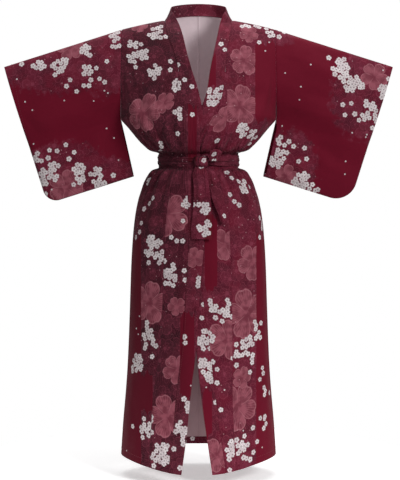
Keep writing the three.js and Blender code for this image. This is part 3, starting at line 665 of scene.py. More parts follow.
def sleeve(name, hand, radius, reveal):
    """reveal is how far the back layer's free inner edge shows past the front one's."""
    origin, along_way, down_way = sleeve_frame(hand)
    (start_x, start_front, start_back), low, last_x = sleeve_start(hand)
    first_x = float(start_x(0.0))
    share = np.concatenate([[0, 0.003, 0.008], np.linspace(0.014, 0.986, 88), [0.993, 0.998, 1.0]])
    along_rows = np.concatenate([[0, 0.004, 0.010], np.linspace(0.018, 0.982, 68), [0.99, 0.996, 1.0]])
    y = share * SLEEVE_DEEP
    free = smooth(y, low - 6, low + 30) * smooth(-share, -1.0, -0.97)
    grid, across, along_cloth = [], [], []
    for along in along_rows:
        top_x = first_x + (SLEEVE_WIDE - first_x) * along
        foot_x, foot_y = sleeve_foot(along, last_x, radius)
        inner = start_x(y)
        corner = (first_x + (last_x - first_x) * share) * (1 - along) + SLEEVE_WIDE * along
        corner_y = SLEEVE_DEEP * share * (1 - along) + CUFF * share * along
        px = inner * (1 - along) + SLEEVE_WIDE * along + top_x * (1 - share) + foot_x * share - corner
        py = y * (1 - along) + CUFF * share * along + foot_y * share - corner_y
        opening = CUFF_HALF * np.sin(np.pi * share).clip(0) ** 0.8
        seam = -1.1 * math.exp(-((along * SLEEVE_WIDE / 3) ** 2)) * (1 - free)
        layers = []
        for side, edge in (("front", start_front), ("back", start_back)):
            depth = edge(y) * (1 - along) + opening * along + layer_folds(along, share, side) + seam
            layers.append(np.clip(depth, 0.8, None))
        skew = reveal * free * (1 - along) ** 3
        down = np.outer(py, down_way)
        front = origin + np.outer(px + skew, along_way) + down - np.outer(layers[0], [0, 1, 0])
        back = origin + np.outer(px, along_way) + down + np.outer(layers[1], [0, 1, 0])
        grid.append(np.concatenate([front, back[::-1]]))
        across.append(np.concatenate([py, -py[::-1], [0.0]]))
        along_cloth.append(np.concatenate([px + skew, px[::-1], px[:1]]))
    grid = np.array(grid)
    turn_in = along_rows > 1 - CUFF_TURN / SLEEVE_WIDE
    deep = np.repeat(np.where(turn_in, CLOTH / 2 + CUFF_EXTRA, CLOTH / 2)[:, None], grid.shape[1], 1)
    loose = np.concatenate([free, free[::-1]]) > 0.5
    printed = turn_in[:, None] | ((along_rows < CUFF_TURN / SLEEVE_WIDE)[:, None] & loose)
    flat = np.array(across), np.array(along_cloth)
    if hand < 0:
        grid, flat = grid[:, ::-1], tuple(part[:, ::-1] for part in flat)
    return cloth_shell(name, grid, printed, ring=True, inside=deep, flat=flat)


sleeve("sleeve_right_cloth", -1, 38.0, 2.0)
sleeve("sleeve_left_cloth", 1, 60.0, 7.0)

# %% [markdown]
# ## The tie belt
# The belt is a narrow strip of the same cloth, sewn double. It goes round the waist, is knotted
# in front, and leaves two hanging tails and a folded end that stands above it. Small pleats run
# along the belt, because a soft strip crumples when it is pulled tight.

# %% Belt round the waist
BELT_CLOTH, BELT_WALL, BELT_OUT = 1.6, 1.8, 2.0


def belt_shell(name, grid, ring=False):
    half = BELT_CLOTH / 2
    return cloth_shell(name, grid, np.ones(grid.shape[:2], bool), ring=ring, outside=half, inside=half)


def belt_round():
    rows = []
    degrees = np.linspace(-180, 180, 301)[:-1]
    turn = np.radians(degrees)
    for part in np.concatenate([[-0.5, -0.485, -0.46], np.linspace(-0.42, 0.42, 15), [0.46, 0.485, 0.5]]):
        lap = LAP * smooth(degrees, -75, -45) * (1 - smooth(degrees, 30, 60))
        broad = 2.2 * part + 0.25 * np.sin(2 * turn + 0.5) + 0.12 * np.sin(5 * turn)
        narrow = 5.1 * part + 0.4 * np.sin(turn + 2) + 0.1 * np.sin(9 * turn)
        pleat = 0.8 * np.sin(2 * np.pi * broad)
        pleat += 0.35 * np.sin(2 * np.pi * narrow)
        near_knot = bell(degrees - 4, 30)
        pleat += 1.5 * near_knot * np.sin(2 * np.pi * (3.1 * part + 0.1 * np.sin(4 * turn)))
        squeeze = 0.86 - 0.26 * near_knot
        edge = -1.6 * (2 * abs(part)) ** 6
        z = BELT_Z + BELT_TALL * part * squeeze + 1.2 * np.sin(3 * turn) + 0.8 * np.sin(7 * turn + 1)
        out = BELT_OUT + lap + pleat + edge + 0.6
        grid_row = ring_point(np.full_like(degrees, BELT_Z), degrees, out, True)
        grid_row[:, 2] += z - BELT_Z
        rows.append(grid_row)
    return belt_shell("belt_round_cloth", np.array(rows), ring=True)


belt_round()

# %% [markdown]
# ## The knot and the ends
# The knot's face is a dome with three creases across it. The folded end is a strip that goes up
# and comes down again behind itself. A tail is drawn from a table: how far its two edges lie
# from the middle at each height, and how far it hangs off the robe.

# %% Knot, standing end and tails
KNOT = (8.0, -411.0, 19.0, 16.0, 17.0)      # middle x and z, half width, half height, bulge
LOOP = (31.0, -409.0, 32.0, 32.0, 12.0)     # left x, foot z, width, rise, distance apart
# height, left edge, right edge, distance off the robe
TAIL_CENTRE = np.array([(-626, -19, 37, 10), (-600, -20, 37, 10), (-560, -16, 36, 12), (-520, -13, 34, 14),
                        (-485, -13, 30, 16), (-450, -15, 26, 16), (-437, -13, 23, 15),
                        (-426.4, -9, 18, 15.5)])
TAIL_SIDE = np.array([(-579, 63, 76, 5.5), (-554, 54, 75, 6.5), (-518, 39, 71, 9), (-477, 28, 63, 11),
                      (-450, 25, 51, 11.5), (-437, 20, 42, 10.5), (-427.9, 10, 27, 11)])


def belt_knot():
    x0, z0, wide, tall, bulge = KNOT
    face = float(front_at(BELT_Z)) + BELT_OUT + LAP + BELT_WALL + 0.6
    u, v = np.meshgrid(np.linspace(-1, 1, 41), np.linspace(-1, 1, 41))
    dome = np.sqrt(np.clip(1 - np.abs(u) ** 3, 0, 1)) * np.sqrt(np.clip(1 - np.abs(v) ** 3, 0, 1))
    crease = 2.5 * bell(u - 0.5 * v, 0.22) * dome
    crease += 1.4 * bell(u + 0.45 + 0.2 * v, 0.12) * dome
    crease += 1.2 * bell(u - 0.6 + 0.15 * v * v, 0.1) * dome
    grid = np.stack([x0 + wide * u * (1 - 0.12 * v * v), -face - bulge * dome + crease, z0 + tall * v], -1)
    return belt_shell("belt_knot_cloth", grid)


def belt_loop():
    x0, z0, wide, rise, apart = LOOP
    foot = float(front_at(BELT_Z)) + BELT_OUT + LAP + BELT_WALL + 3
    head = float(front_at(-371)) + LAP + 8
    parts = np.linspace(0, 1, 25)
    rows = []
    for turn in np.pi * np.linspace(0, 1, 61):
        up = max(0.0, math.sin(turn)) ** 0.4
        out = apart * (0.5 - 0.5 * math.cos(turn))
        width = wide * (0.75 + 0.25 * up)
        wave = 1.5 * np.sin(5 * parts) * up + 0.9 * np.sin(11 * parts + 2 * turn) * up
        rows.append(np.stack([x0 + width * parts - 3 + 5 * up, -(foot + (head - foot) * up) - out - wave,
                              z0 + rise * up * (1 - 0.1 * parts - 0.2 * (2 * parts - 1) ** 2)], -1))
    return belt_shell("belt_loop_cloth", np.array(rows)[:, ::-1])


def belt_tail(name, table, ripples):
    """A hanging end; ripples are its long folds, by place across it and height."""
    left, right, out = (curve_through(table[:, 0], table[:, i]) for i in (1, 2, 3))
    parts = np.concatenate([[0, 0.02, 0.05], np.linspace(0.1, 0.9, 13), [0.95, 0.98, 1]])
    rows = []
    low, high = table[0, 0], table[-1, 0]
    for z in np.concatenate([[low, low + 0.6, low + 1.6], np.linspace(low + 4, high, 46)]):
        x = left(z) + (right(z) - left(z)) * parts
        curl = 2.2 * np.sin(np.pi * parts)
        gather = float(smooth(z, high - 70, high - 5))
        for place, tall in ripples:
            curl = curl + (tall + gather) * bell(parts - place, 0.13)
        rows.append(np.stack([x, -front_at(z + tilt_at(z)) - out(z) - curl, np.full_like(x, z)], -1))
    return belt_shell(name, np.array(rows))


belt_knot()
belt_loop()
belt_tail("belt_tail_centre_cloth", TAIL_CENTRE, [(0.28, 1.4), (0.62, -1.0), (0.82, 1.0)])
belt_tail("belt_tail_side_cloth", TAIL_SIDE, [(0.35, 1.2), (0.7, -0.9)])

# %% [markdown]
# ## The chart of the print
# Cherry blossoms are an ordinary summer pattern. Small white ones sit close together in
# clusters, large mauve ones stand alone, and faint line drawings of more blossoms fill the
# ground between them. A chart lists where each cluster and each large blossom lies, in
# centimetres on the front of the robe. A fixed seed offers random spots in each cluster, and
# blossoms take them from the middle outwards, each as close to the others as it may be. Cut
# lengths of cloth are sewn together as they come, so a blossom stops at a seam. The back
# repeats the chart, shifted and turned round.

# %% Blossom chart
# middle x and z, half width and half height, in centimetres
CLUSTERS = np.array([
    # right sleeve, upper part
    -45.9, -12.4, 2.0, 1.7, -50.8, -12.2, .9, .5, -42.3, -12.8, 1.0, 1.0, -39.6, -12.0, 2.6, 2.0,
    -40.3, -14.6, 1.4, 1.2, -32.6, -8.0, 1.6, 1.8, -31.0, -9.6, .9, .7, -32.3, -14.0, 1.7, 1.7,
    -29.6, -13.5, 1.0, 1.1, -26.5, -11.5, .7, .7, -30.8, -16.6, 1.1, 1.1, -28.3, -16.3, 1.2, 1.1,
    -27.0, -17.5, .8, .8, -33.2, -18.2, 1.1, 1.0, -31.5, -18.5, .9, .9, -36.8, -16.8, .7, .7,
    -38.0, -18.7, .7, .7, -35.2, -20.2, .7, .7, -24.0, -4.3, 1.6, 1.6, -23.8, -7.3, 1.4, 1.2,
    # right sleeve, lower part
    -47.0, -39.0, 1.5, 1.3, -45.2, -40.2, 1.0, 1.2, -42.7, -37.0, .8, .8, -40.7, -37.3, 1.1, .9,
    -43.1, -39.0, 1.1, 1.0, -38.3, -35.6, .7, .7, -36.0, -37.6, .7, .7, -37.3, -39.6, .7, .7,
    -42.0, -41.7, 1.8, 1.3, -44.0, -43.4, 1.8, 1.3, -41.8, -44.6, 1.4, 1.3, -44.2, -45.8, 1.6, 1.3,
    -46.0, -46.5, .9, 1.3, -44.0, -49.8, .8, .7, -34.5, -42.3, 1.9, 1.7, -34.2, -45.2, 1.6, 1.4,
    -31.3, -43.8, 1.2, 1.1, -29.0, -43.4, 1.5, 1.3, -29.2, -46.0, 1.9, 1.4, -27.5, -46.3, .8, .8,
    -24.5, -44.4, 1.0, 1.0, -35.8, -46.8, .8, .7,
    # chest, right side
    -12.0, -3.2, 1.9, 1.8, -13.4, -3.9, 1.2, 1.0, -9.4, -4.3, .9, .8, -11.4, -1.2, .8, .5,
    -18.8, -6.5, 1.7, 1.3, -16.7, -6.4, 1.3, 1.2, -17.3, -8.6, 1.3, 1.2, -15.6, -9.3, 1.5, 1.8,
    -18.9, -10.3, 1.5, 1.5, -18.2, -13.0, .8, .9, -12.3, -12.3, 1.2, 1.3, -13.1, -14.2, 1.8, 1.3,
    -11.5, -13.9, 1.0, 1.2, -12.5, -16.4, 1.2, 1.0, -8.0, -11.5, 1.3, 1.1, -8.1, -13.8, .9, 1.2,
    -6.2, -12.6, 1.0, .7, -6.2, -18.3, 1.2, 2.1, -3.8, -16.9, 1.1, .9, -1.8, -18.3, 1.2, 1.0,
    -6.8, -26.1, .8, .9, -5.4, -26.5, .8, 1.8, -5.9, -32.2, .6, .9, -10.7, -35.8, .8, 1.4,
    -1.9, -26.8, .6, .9,
    # chest, left side
    13.5, -1.0, 1.6, .8, 16.5, -1.3, 1.6, .8, 21.0, -3.0, 1.6, 1.6, 23.4, -4.2, 1.3, 1.0,
    19.5, -2.0, 1.0, .8, 6.4, -6.2, 1.1, 1.1, 7.6, -8.0, 1.2, 1.0, 17.4, -6.0, .8, .8,
    3.2, -20.3, 1.1, 1.5, 4.2, -23.0, 1.5, 1.5, 5.6, -21.0, 1.3, 2.0, 6.8, -18.7, .6, .9,
    12.8, -30.8, 1.9, 1.9, 12.3, -33, 1.1, 1.0, 15.6, -32.3, 1.6, 1.6, 14.6, -35, 1.3, 1.3,
    11.5, -37.5, .7, 1.2, 5.5, -34.2, .9, 1.1, 4.4, -38.0, 1.2, 1.1, 4.4, -39.6, 1.2, 1.0,
    2.0, -38.6, .8, 1.1, 1.5, -39.9, .7, .7, .9, -41.8, .7, .6,
    # left sleeve, upper part
    37.3, -10.3, 1.2, 1.1, 41.0, -11.6, 1.4, 1.4, 42.2, -12.6, 1.3, 1.6, 39.8, -13.8, 1.7, 1.3,
    41.8, -15.0, 1.7, 1.4, 42.7, -16.6, 1.2, 1.2, 45.9, -16.8, 1.3, 1.4, 47.0, -18.5, 1.5, 1.6,
    43.6, -18.8, 1.6, 1.7, 45.0, -18.0, 1.3, 1.4, 54.7, -16.3, .8, 1.0, 53.3, -19.5, 1.5, 1.4,
    52.8, -21.7, .6, 1.0, 49.2, -24.0, 2.2, 1.3, 51.0, -25.6, 1.0, 1.4, 50.9, -28.0, 1.2, 1.4,
    50.0, -30.5, .8, 1.2, 41.6, -23.9, .7, .7, 43.9, -23.3, .7, .7, 42.0, -26.8, .7, .7,
    45.0, -26.6, 1.1, .9, 46.2, -28.1, 1.0, 1.0, 48.3, -27.2, 1.4, 1.3,
    # left sleeve, lower part
    23.2, -34.0, .7, 1.6, 25.0, -35.5, 1.0, 1.2, 26.3, -34.5, .9, .9, 27.3, -36.0, 1.3, 1.0,
    30.3, -36.2, .7, .8, 22.5, -37.8, 1.0, 1.4, 23.9, -38.3, 1.9, 2.0, 22.5, -40.8, 1.8, 1.6,
    21.0, -40.0, .8, 1.5, 29.1, -40.1, .7, .7, 31.1, -39.5, .8, .8, 30.0, -44.3, 1.8, 1.3,
    28.5, -46.3, 1.8, 1.2, 31.3, -47, 1.6, 1.2, 33.5, -48.5, 1.5, .9,
    # below the belt
    -14.2, -45.5, .9, 1.9, -13.1, -50.6, .7, .7, -14.0, -52.2, 1.0, .9, -15.6, -53.8, .7, 1.0,
    -16.5, -58.0, 1.0, 1.2, -17, -60.5, .9, 1.2, -18, -62, .5, 1.2, -13.5, -63.3, 1.7, 1.6,
    -11.6, -63.8, 1.4, 1.4, -14.2, -66.3, 1.6, 1.4, -12.0, -66.6, 1.9, 1.4, -10.8, -68.3, 1.4, 1.4,
    -14.4, -69.3, .8, .8, -3.0, -50.8, 1.1, 1.2, -2.8, -52.6, 1.8, 1.3, -4.6, -57.4, .8, .8,
    0.0, -52.7, 1.1, 1.1, 1.8, -53.7, 1.3, 1.6, 1.2, -59.3, 2.0, 1.2, 2.7, -58.2, 1.0, 1.1,
    2.2, -60.6, 1.1, .9, -7.7, -62.1, 1.0, 1.0, -6.3, -63.2, 1.3, 1.3, -4.6, -63.3, 1.1, 1.0,
    -8.6, -72.6, 2.0, 1.6, -7.6, -71.0, 1.2, 1.2, -7.0, -73.5, 1.3, 1.4, -8.4, -75.3, 1.4, 1.2,
    -3.9, -71.6, .6, 1.2, -3.9, -74.2, .6, 1.2, -1.5, -71.3, .8, 1.2, -0.9, -73.2, 1.0, 1.3,
    0.0, -75, .9, 1.6, 8.2, -43.3, 1.2, 1.1, 9.6, -44.9, 1.1, .9, 13.3, -45.7, 1.0, 1.3,
    13.3, -47.8, 2.0, 1.6, 11.5, -45.7, 1.0, .9, 8.9, -49.8, 1.1, 1.1, 10.4, -51.6, 1.2, 1.1,
    11.6, -52.6, .8, .7, 7.5, -55.8, .6, 1.0, 17.6, -56.5, .6, 1.0, 18.2, -58.5, .5, 1.5,
    17.6, -62, .5, .7,
    # middle of the skirt
    1.4, -81.5, 1.1, 1.0, 4.3, -82.3, 1.4, 1.3, 3.3, -80.2, 1.1, .9, 8.7, -81, 1.1, 1.4,
    7.5, -83.5, 1.9, 1.5, 9, -84.5, 1, 1, 4.7, -85, 1.1, 1.2, 6.9, -86, 1.2, .9, 0.8, -85.2, 1.1, 1.1,
    2.4, -89.3, 1.4, 1.2, 1.2, -91.8, 1.5, 2.0, 3.0, -91.0, 1.6, 1.4, 1.4, -94, 1.3, 1.0,
    3.5, -94, 1.0, 1.0, -3.9, -90.5, .8, .9, -3.9, -92.4, .8, .9, -14.8, -87.6, 1.2, 1.4,
    -14.6, -90, 1.6, 1.5, -15.2, -92.8, .9, 2.0, -13, -91.5, 1.1, 1.6, -12.2, -93.4, 1.0, 1.0,
    -13.2, -96.3, .7, .7, -17.6, -97, 1.3, 1.7, -17.4, -99.4, 1.4, 1.5, -19, -100.3, .8, 1.2,
    10.9, -92.8, 1.1, 1.3, 13, -93, 1.9, 1.9, 15.0, -91.8, .8, 1.8, 11.6, -95.8, 2.0, 1.3,
    13.5, -95.5, 1.2, 1.2, 10, -97, .9, .9, 16.6, -87.5, 1.0, 1.4, 16.9, -90.3, 1.1, 1.6,
    18, -86.5, .5, .9, 17.8, -91, .7, .9, 15.3, -97, .8, 1.5, 11, -98.9, .9, .9, 14.9, -101, .6, 1.0,
    0.9, -98.3, 1.2, 1.5, 3.3, -98.6, 1.7, 1.3, 1.2, -100.6, 1.1, 1.2, 3.0, -101, 1.5, 1.3,
    5.2, -99.9, 1.1, 1.3, 3.6, -103, 1.2, 1.1, 5.3, -104.1, .8, .8, 18.3, -99.5, 1.0, 1.2,
    18.6, -101.2, 1.0, 1.2, 17.7, -102.8, .8, .9, 19.2, -106.3, .8, 1.8, 20.4, -106.8, .5, .8,
    # towards the hem
    -4.0, -108.8, 1.0, 1.1, -3.4, -111, .9, 1.6, 5.2, -109.3, 1.2, 1.0, 6.5, -111.4, 1.0, 1.3,
    -15.7, -114.3, 1.3, 1.1, -13.8, -114.8, 1.1, 1.4, -15.4, -117, 1.8, 1.3, -14, -118, 1.1, 1.5,
    -16, -119.5, 1.0, .8, -19, -116.5, .8, 1.2, -5.0, -115.2, 1.3, 1.3, -5.7, -117.5, 1.5, 1.3,
    -4.1, -117.5, 1.1, 1.5, -4.5, -120.5, 1.0, 1.4, 17.7, -114.0, .7, .9, 19, -114.5, .8, 1.8,
    18.8, -116.8, .7, 1.0, 15.7, -116.8, .8, 1.3, 13.2, -119.5, 1.1, 1.0, 13.2, -122, 1.3, 1.6,
    16.8, -120.6, .8, 1.0, 10.2, -121.5, 1.9, 1.6, 9.2, -123.7, 1.6, 1.6, 11.3, -123.7, 1.5, 1.5,
    8.8, -126, 1.2, 1.0, 15.8, -124, 1.0, 1.2, 13.9, -125.7, 1.4, 1.1, 8.9, -129, 1.1, .9,
    -12, -121.7, 1.2, 1.2, -10.7, -123.5, 1.7, 1.5, -11.8, -125, 1.8, 1.4, -9.7, -126.3, 1.6, 1.6,
    -9.7, -122.5, 1, 1.2, -12.7, -127.8, .8, 1.0, -6.9, -122.8, .6, 1.0,
    -5.4, -128.3, .5, 1.2]).reshape(-1, 4)
# middle x and z, and radius, of each large blossom
LARGE = np.array([
    -38.3, -47.5, 5.4, -37.0, -7.6, 4.0, -17.0, -1.4, 2.6, -16.2, -26.5, 5.8, -9.8, -23.0, 3.0,
    13.4, -11.0, 4.4, 12.2, -23.8, 6.4, 7.6, -28.0, 3.9, 50.5, -15.6, 4.0, 25.3, -44.6, 3.7,
    -9.4, -55.0, 6.6, 7.6, -64.2, 4.8, 15.6, -69.5, 5.2, -0.9, -68.0, 2.8, -14.2, -81.0, 5.8,
    14.0, -84.0, 6.8, 8.2, -91.8, 5.9, 11.2, -110.8, 6.4, -9.2, -113.8, 6.4, -6.4, -100.2, 4.6,
    5.4, -124.8, 5.0, -6.5, -82.0, 2.6, 12.5, -102.6, 2.9, 14.4, -3.6, 2.8, -3.0, -6.5, 3.2,
    3.5, -4.5, 3.0]).reshape(-1, 3)
# single tiny blossoms on the plain stretches
SPECKS = np.array([
    -52.5, -16.5, -47.8, -25.6, -26.3, -30.6, -24.6, -33.3, -47.5, -35.0, -22.8, -39.7, -42.5, -48.3,
    -38.5, -22.7, -30, -22.8, -50, -23, -27, -19.8, -26.3, -20.6, 52.9, -14.0, 29, -22.2, 24.9, -14.7,
    29.6, -18.8, 32.5, -12.5, 44.2, -31.9, 48.5, -32.3, 48.1, -33.2, 42.3, -40.3, 42.3, -43.8, 23.9, -29.8,
    20.3, -6.0, 19.3, -8.3, -17, -85, -17.8, -88.4, -17.3, -90.2, 18.3, -122.4, -20.7, -123.4, 2.2, -105.3,
    -2.3, -104.5, 12.9, -117.7, 7.4, -105.8]).reshape(-1, 2)
# stretches of the body where the cloth is plain: left, right, low and high edge
PLAIN = np.array([
    16.3, 23, -28.5, -6.0, 16.6, 30, -140, -62.0, -30, -16.5, -140, -62.0, 1.8, 5.4, -77, -56,
    -5.3, -1.2, -108, -84, -21, -13.2, -112, -101.5, 1.3, 3.9, -119, -106, -3.0, -0.5, -40, -24,
    2.0, 5.0, -19, -9]).reshape(-1, 4)
# printed stretches of the sleeves: middle x and z, half width and half height
SLEEVE_PRINT = np.array([
    -41, -12, 17, 8.5, -27, -9, 9, 12, -38, -43, 12, 8.5, -26, -44, 8, 5, 47.5, -21, 9.5, 13,
    26, -41, 8, 10, 24, -3.5, 4, 3]).reshape(-1, 4)


APART, INSET, TRIES = 1.07, 0.24, 400  # between middles, inside a patch's edge, in cm; spots


def fill_clusters(patches, seed=11):
    """Fill each patch from its middle, every blossom as close to the last ones as it may be."""
    rng = np.random.default_rng(seed)
    placed = np.full((1, 2), 999.0)
    for x, z, wide, tall in patches:
        angle, far = rng.uniform(0, 2 * np.pi, TRIES), np.sqrt(rng.uniform(0, 1, TRIES))
        far[0] = 0
        room = np.maximum([wide - INSET, tall - INSET], 0.05)
        spots = [x, z] + room * np.stack([far * np.cos(angle), far * np.sin(angle)], -1)
        gap = np.hypot(*(spots[:, None] - placed[None]).transpose(2, 0, 1)).min(1)
        spot = 0 if gap[0] > APART else None
        while spot is not None or gap.max() > APART:
            if spot is None:
                spot = int(np.where(gap > APART, gap, np.inf).argmin())
            placed = np.vstack([placed, spots[spot]])
            gap = np.minimum(gap, np.hypot(*(spots - spots[spot]).T))
            spot = None
    return placed[1:]


small_places = fill_clusters(CLUSTERS)
print(len(CLUSTERS), "patches hold", len(small_places), "small blossoms;", len(LARGE), "large ones")

# %% [markdown]
# ## Laying the chart on the cloth
# Each blossom goes to the point of the robe that lies under its place on the chart. From there
# it is measured along the cloth, so it bends with the cloth and keeps its size. Every face
# near it stores where its corners lie inside the blossom, and the finish draws the petals from
# that. Two blossoms that share a face need a store each, so the stores are filled one after
# another.

# %% Lay the blossoms
EYE = np.array([4.3, -3000.0, -628.0])
SMALL_STORES, LARGE_STORES = 8, 2
SMALL_RADIUS, SPECK_RADIUS = 7.9, 2.6
AWAY = 9                       # a place far outside every blossom


def chart_places(data):
    """Chart x and z of each point in centimetres, and whether it is on the front."""
    grid, normal = data["grid"], data["normal"]
    front = normal[..., 1] < 0.02
    scale = -EYE[1] / (grid[..., 1] - EYE[1])
    seen_x = (EYE[0] + (grid[..., 0] - EYE[0]) * scale) / 10
    seen_z = (EYE[2] + (grid[..., 2] - EYE[2]) * scale) / 10
    back_z = grid[..., 2] / 10
    rolled = np.where(np.abs(grid[..., 0]) < ARM_X, -4 - ((-back_z - 4 + 37) % 121), back_z)
    return np.where(front, seen_x, -grid[..., 0] / 10), np.where(front, seen_z, rolled), front


def find_places(spots, cap=0.6):
    """For each chart place, the piece and the point that lie outermost there, front and back."""
    found = {name: [] for name in pieces}
    trees = {}
    for name, data in pieces.items():
        x, z, front = data["chart"]
        for side in (True, False):
            chosen = np.argwhere((front == side) & (np.abs(data["normal"][..., 1]) > 0.05))
            if len(chosen):
                tree = kdtree.KDTree(len(chosen))
                for i, (r, c) in enumerate(chosen):
                    tree.insert((x[r, c], z[r, c], 0), i)
                tree.balance()
                trees[name, side] = tree, chosen
    for i, spot in enumerate(spots):
        for side in (True, False):
            best = None
            for (name, tree_side), (tree, chosen) in trees.items():
                if tree_side != side:
                    continue
                near, k, far = tree.find((spot[0], spot[1], 0))
                if far < cap and abs(near[0] - spot[0]) < 0.3:
                    r, c = chosen[k]
                    depth = pieces[name]["grid"][r, c, 1] * (1 if side else -1)
                    if best is None or depth < best[0]:
                        best = (depth, name, r, c)
            if best:
                found[best[1]].append((best[2], best[3], i))
    return found


def store_blossoms(data, items, stores, radii, label, seed):
    """Write the corners' places inside each blossom to the stores of a piece."""
    rng = np.random.default_rng(seed)
    across, up, quads = data["across"], data["up"], data["quads"]
    rows = len(data["grid"]) - 1
    cu, cv = face_corners(across)[:, :quads], face_corners(up)[:, :quads]
    wraps = data["ring"] and not data["laid"]
    around = (across[:, -1] - across[:, 0])[:-1, None, None]
    place = np.zeros((stores, rows, quads, 4, 3), np.float32)
    place[..., :2] = AWAY
    used = np.zeros((stores, rows, quads), bool)
    lost = 0
    for r, c, i in items:
        radius = radii[i] * rng.uniform(0.92, 1.08)
        turn, tint = rng.uniform(0, 2 * np.pi), rng.uniform(0.1, 1)
        du, dv = cu - across[r, c], cv - up[r, c]
        if wraps:
            du = (du + around / 2) % around - around / 2
        near = (np.abs(dv).max(-1) < 1.1 * radius + 9) & (np.abs(du).max(-1) < 1.1 * radius + 9)
        near &= np.hypot(du.mean(-1), dv.mean(-1)) < radius + 2.8
        for store in range(stores):
            if not (used[store] & near).any():
                x, y = du[near] / radius, dv[near] / radius
                place[store][near] = np.stack([x * math.cos(turn) + y * math.sin(turn),
                                               y * math.cos(turn) - x * math.sin(turn),
                                               np.full_like(x, tint)], -1)
                used[store] |= near
                break
        else:
            lost += 1
    mesh = data["object"].data
    rest = np.zeros((data["faces"] - 2 * data["outer"], 4, 3), np.float32)
    rest[..., :2] = AWAY
    for store in range(stores):
        flat = place[store].reshape(-1, 4, 3)
        layer = mesh.attributes.new(f"{label}_{store + 1}", "FLOAT_VECTOR", "CORNER")
        layer.data.foreach_set("vector", np.concatenate([flat, flat[:, ::-1], rest]).ravel())
    return lost


def ground_field(data):
    """Signed distance in millimetres to the edge of the printed ground, positive inside."""
    x, z, front = data["chart"]
    field = np.full(x.shape, 60.0)
    for left, right, low, high in PLAIN:
        wander = 0.7 * np.sin(x * 1.9 + low) + 0.5 * np.sin(x * 4.3 + high) + 0.3 * np.sin(x * 9.1)
        gap = np.maximum(np.maximum(left - x, x - right), np.maximum(low - z, z - high) + wander)
        field = np.minimum(field, np.where(front, gap * 10, 60.0))
    if "sleeve" in data["object"].name:
        field = np.full(x.shape, -60.0)
        for cx, cz, wide, tall in SLEEVE_PRINT:
            inside = 1 - np.hypot((x - cx) / wide, (z - cz) / tall)
            field = np.maximum(field, inside * min(wide, tall) * 0.55)
    return field


for name, data in pieces.items():
    data["chart"] = chart_places(data)
small_found = find_places(small_places)
speck_found = find_places(SPECKS)
large_found = find_places(LARGE[:, :2], 0.9)
small_count = len(small_places)
small_radii = np.concatenate([np.full(small_count, SMALL_RADIUS), np.full(len(SPECKS), SPECK_RADIUS)])
dropped = 0
for number, (name, data) in enumerate(pieces.items()):
    smalls = small_found[name] + [(r, c, small_count + i) for r, c, i in speck_found[name]]
    dropped += store_blossoms(data, smalls, SMALL_STORES, small_radii, "small", 100 + number)
    dropped += store_blossoms(data, large_found[name], LARGE_STORES, LARGE[:, 2] * 10, "large", 200 + number)
    field = ground_field(data).reshape(-1)
    # painted shade: the body, but not the sleeves, darkens towards the side turned from the window light
    shade = 0 * field if "sleeve" in name else smooth(-data["grid"][..., 0].reshape(-1), -30, 70)
    for label, values in (("ground_edge", field), ("side_shade", shade)):
        layer = data["object"].data.attributes.new(label, "FLOAT", "POINT")
        layer.data.foreach_set("value", np.tile(values, 2).astype(np.float32))
    print(name, len(smalls), "small,", len(large_found[name]), "large")
print("blossoms with no free store:", dropped)

# %% [markdown]
# ## Finishes
# A small helper places nodes and joins them, so each finish reads as a short recipe. Colours
# are given as screen values and turned into the linear light that a shader works in.

# %% Node helper


def dye(red, green, blue):
    """A colour from screen values 0 to 255, as the linear light that a shader needs."""
    screen = [value / 255 for value in (red, green, blue)]
    return (*(c / 12.92 if c <= 10 / 255 else ((c + 0.055) / 1.055) ** 2.4 for c in screen), 1.0)


class Desk:
    """Places nodes in one tree and joins them."""

    def __init__(self, tree):
        self.tree = tree

    def put(self, kind, inputs=(), **settings):
        """A new node. inputs gives its sockets, by name or number, a value or a link each."""
        node = self.tree.nodes.new(kind)
        for key, value in settings.items():
            setattr(node, key, value)
        self.feed_all(node, inputs)
        return node

    def feed(self, socket, value):
        if isinstance(value, bpy.types.NodeSocket):
            self.tree.links.new(value, socket)
        elif value is not None:
            socket.default_value = value

    def feed_all(self, node, inputs):
        for key, value in dict(inputs).items():
            self.feed(node.inputs[key], value)

    def math(self, operation, *values, clamp=False):
        inputs = enumerate(values)
        return self.put("ShaderNodeMath", inputs, operation=operation, use_clamp=clamp).outputs[0]

    def times(self, value, *others):
        for other in others:
            value = self.math("MULTIPLY", value, other)
        return value

    def apart(self, first, second):
        """The distance between two numbers."""
        return self.math("ABSOLUTE", self.math("SUBTRACT", first, second))

    def vector(self, operation, *values):
        return self.put("ShaderNodeVectorMath", enumerate(values), operation=operation).outputs[0]

    def scale(self, vector, factor):
        return self.put("ShaderNodeVectorMath", {0: vector, "Scale": factor}, operation="SCALE").outputs[0]

    def split(self, vector):
        return self.put("ShaderNodeSeparateXYZ", {0: vector}).outputs

    def split_colour(self, colour):
        return self.put("ShaderNodeSeparateColor", {0: colour}).outputs

    def smooth(self, value, low, high, first=0.0, last=1.0):
        inputs = enumerate((value, low, high, first, last))
        return self.put("ShaderNodeMapRange", inputs, interpolation_type="SMOOTHSTEP").outputs[0]

    def mix(self, mask, first, second):
        return self.put("ShaderNodeMix", {0: mask, 6: first, 7: second}, data_type="RGBA").outputs[2]

    def noise(self, vector, scale, detail=2.0):
        inputs = {"Vector": vector, "Scale": scale, "Detail": detail}
        return self.put("ShaderNodeTexNoise", inputs).outputs["Fac"]

    def attribute(self, label, output="Fac"):
        node = self.put("ShaderNodeAttribute", attribute_type="GEOMETRY", attribute_name=label)
        return node.outputs[output]

    def object_place(self):
        return self.put("ShaderNodeTexCoord").outputs["Object"]

    def group(self, group, *values):
        return self.put("ShaderNodeGroup", enumerate(values), node_tree=group).outputs


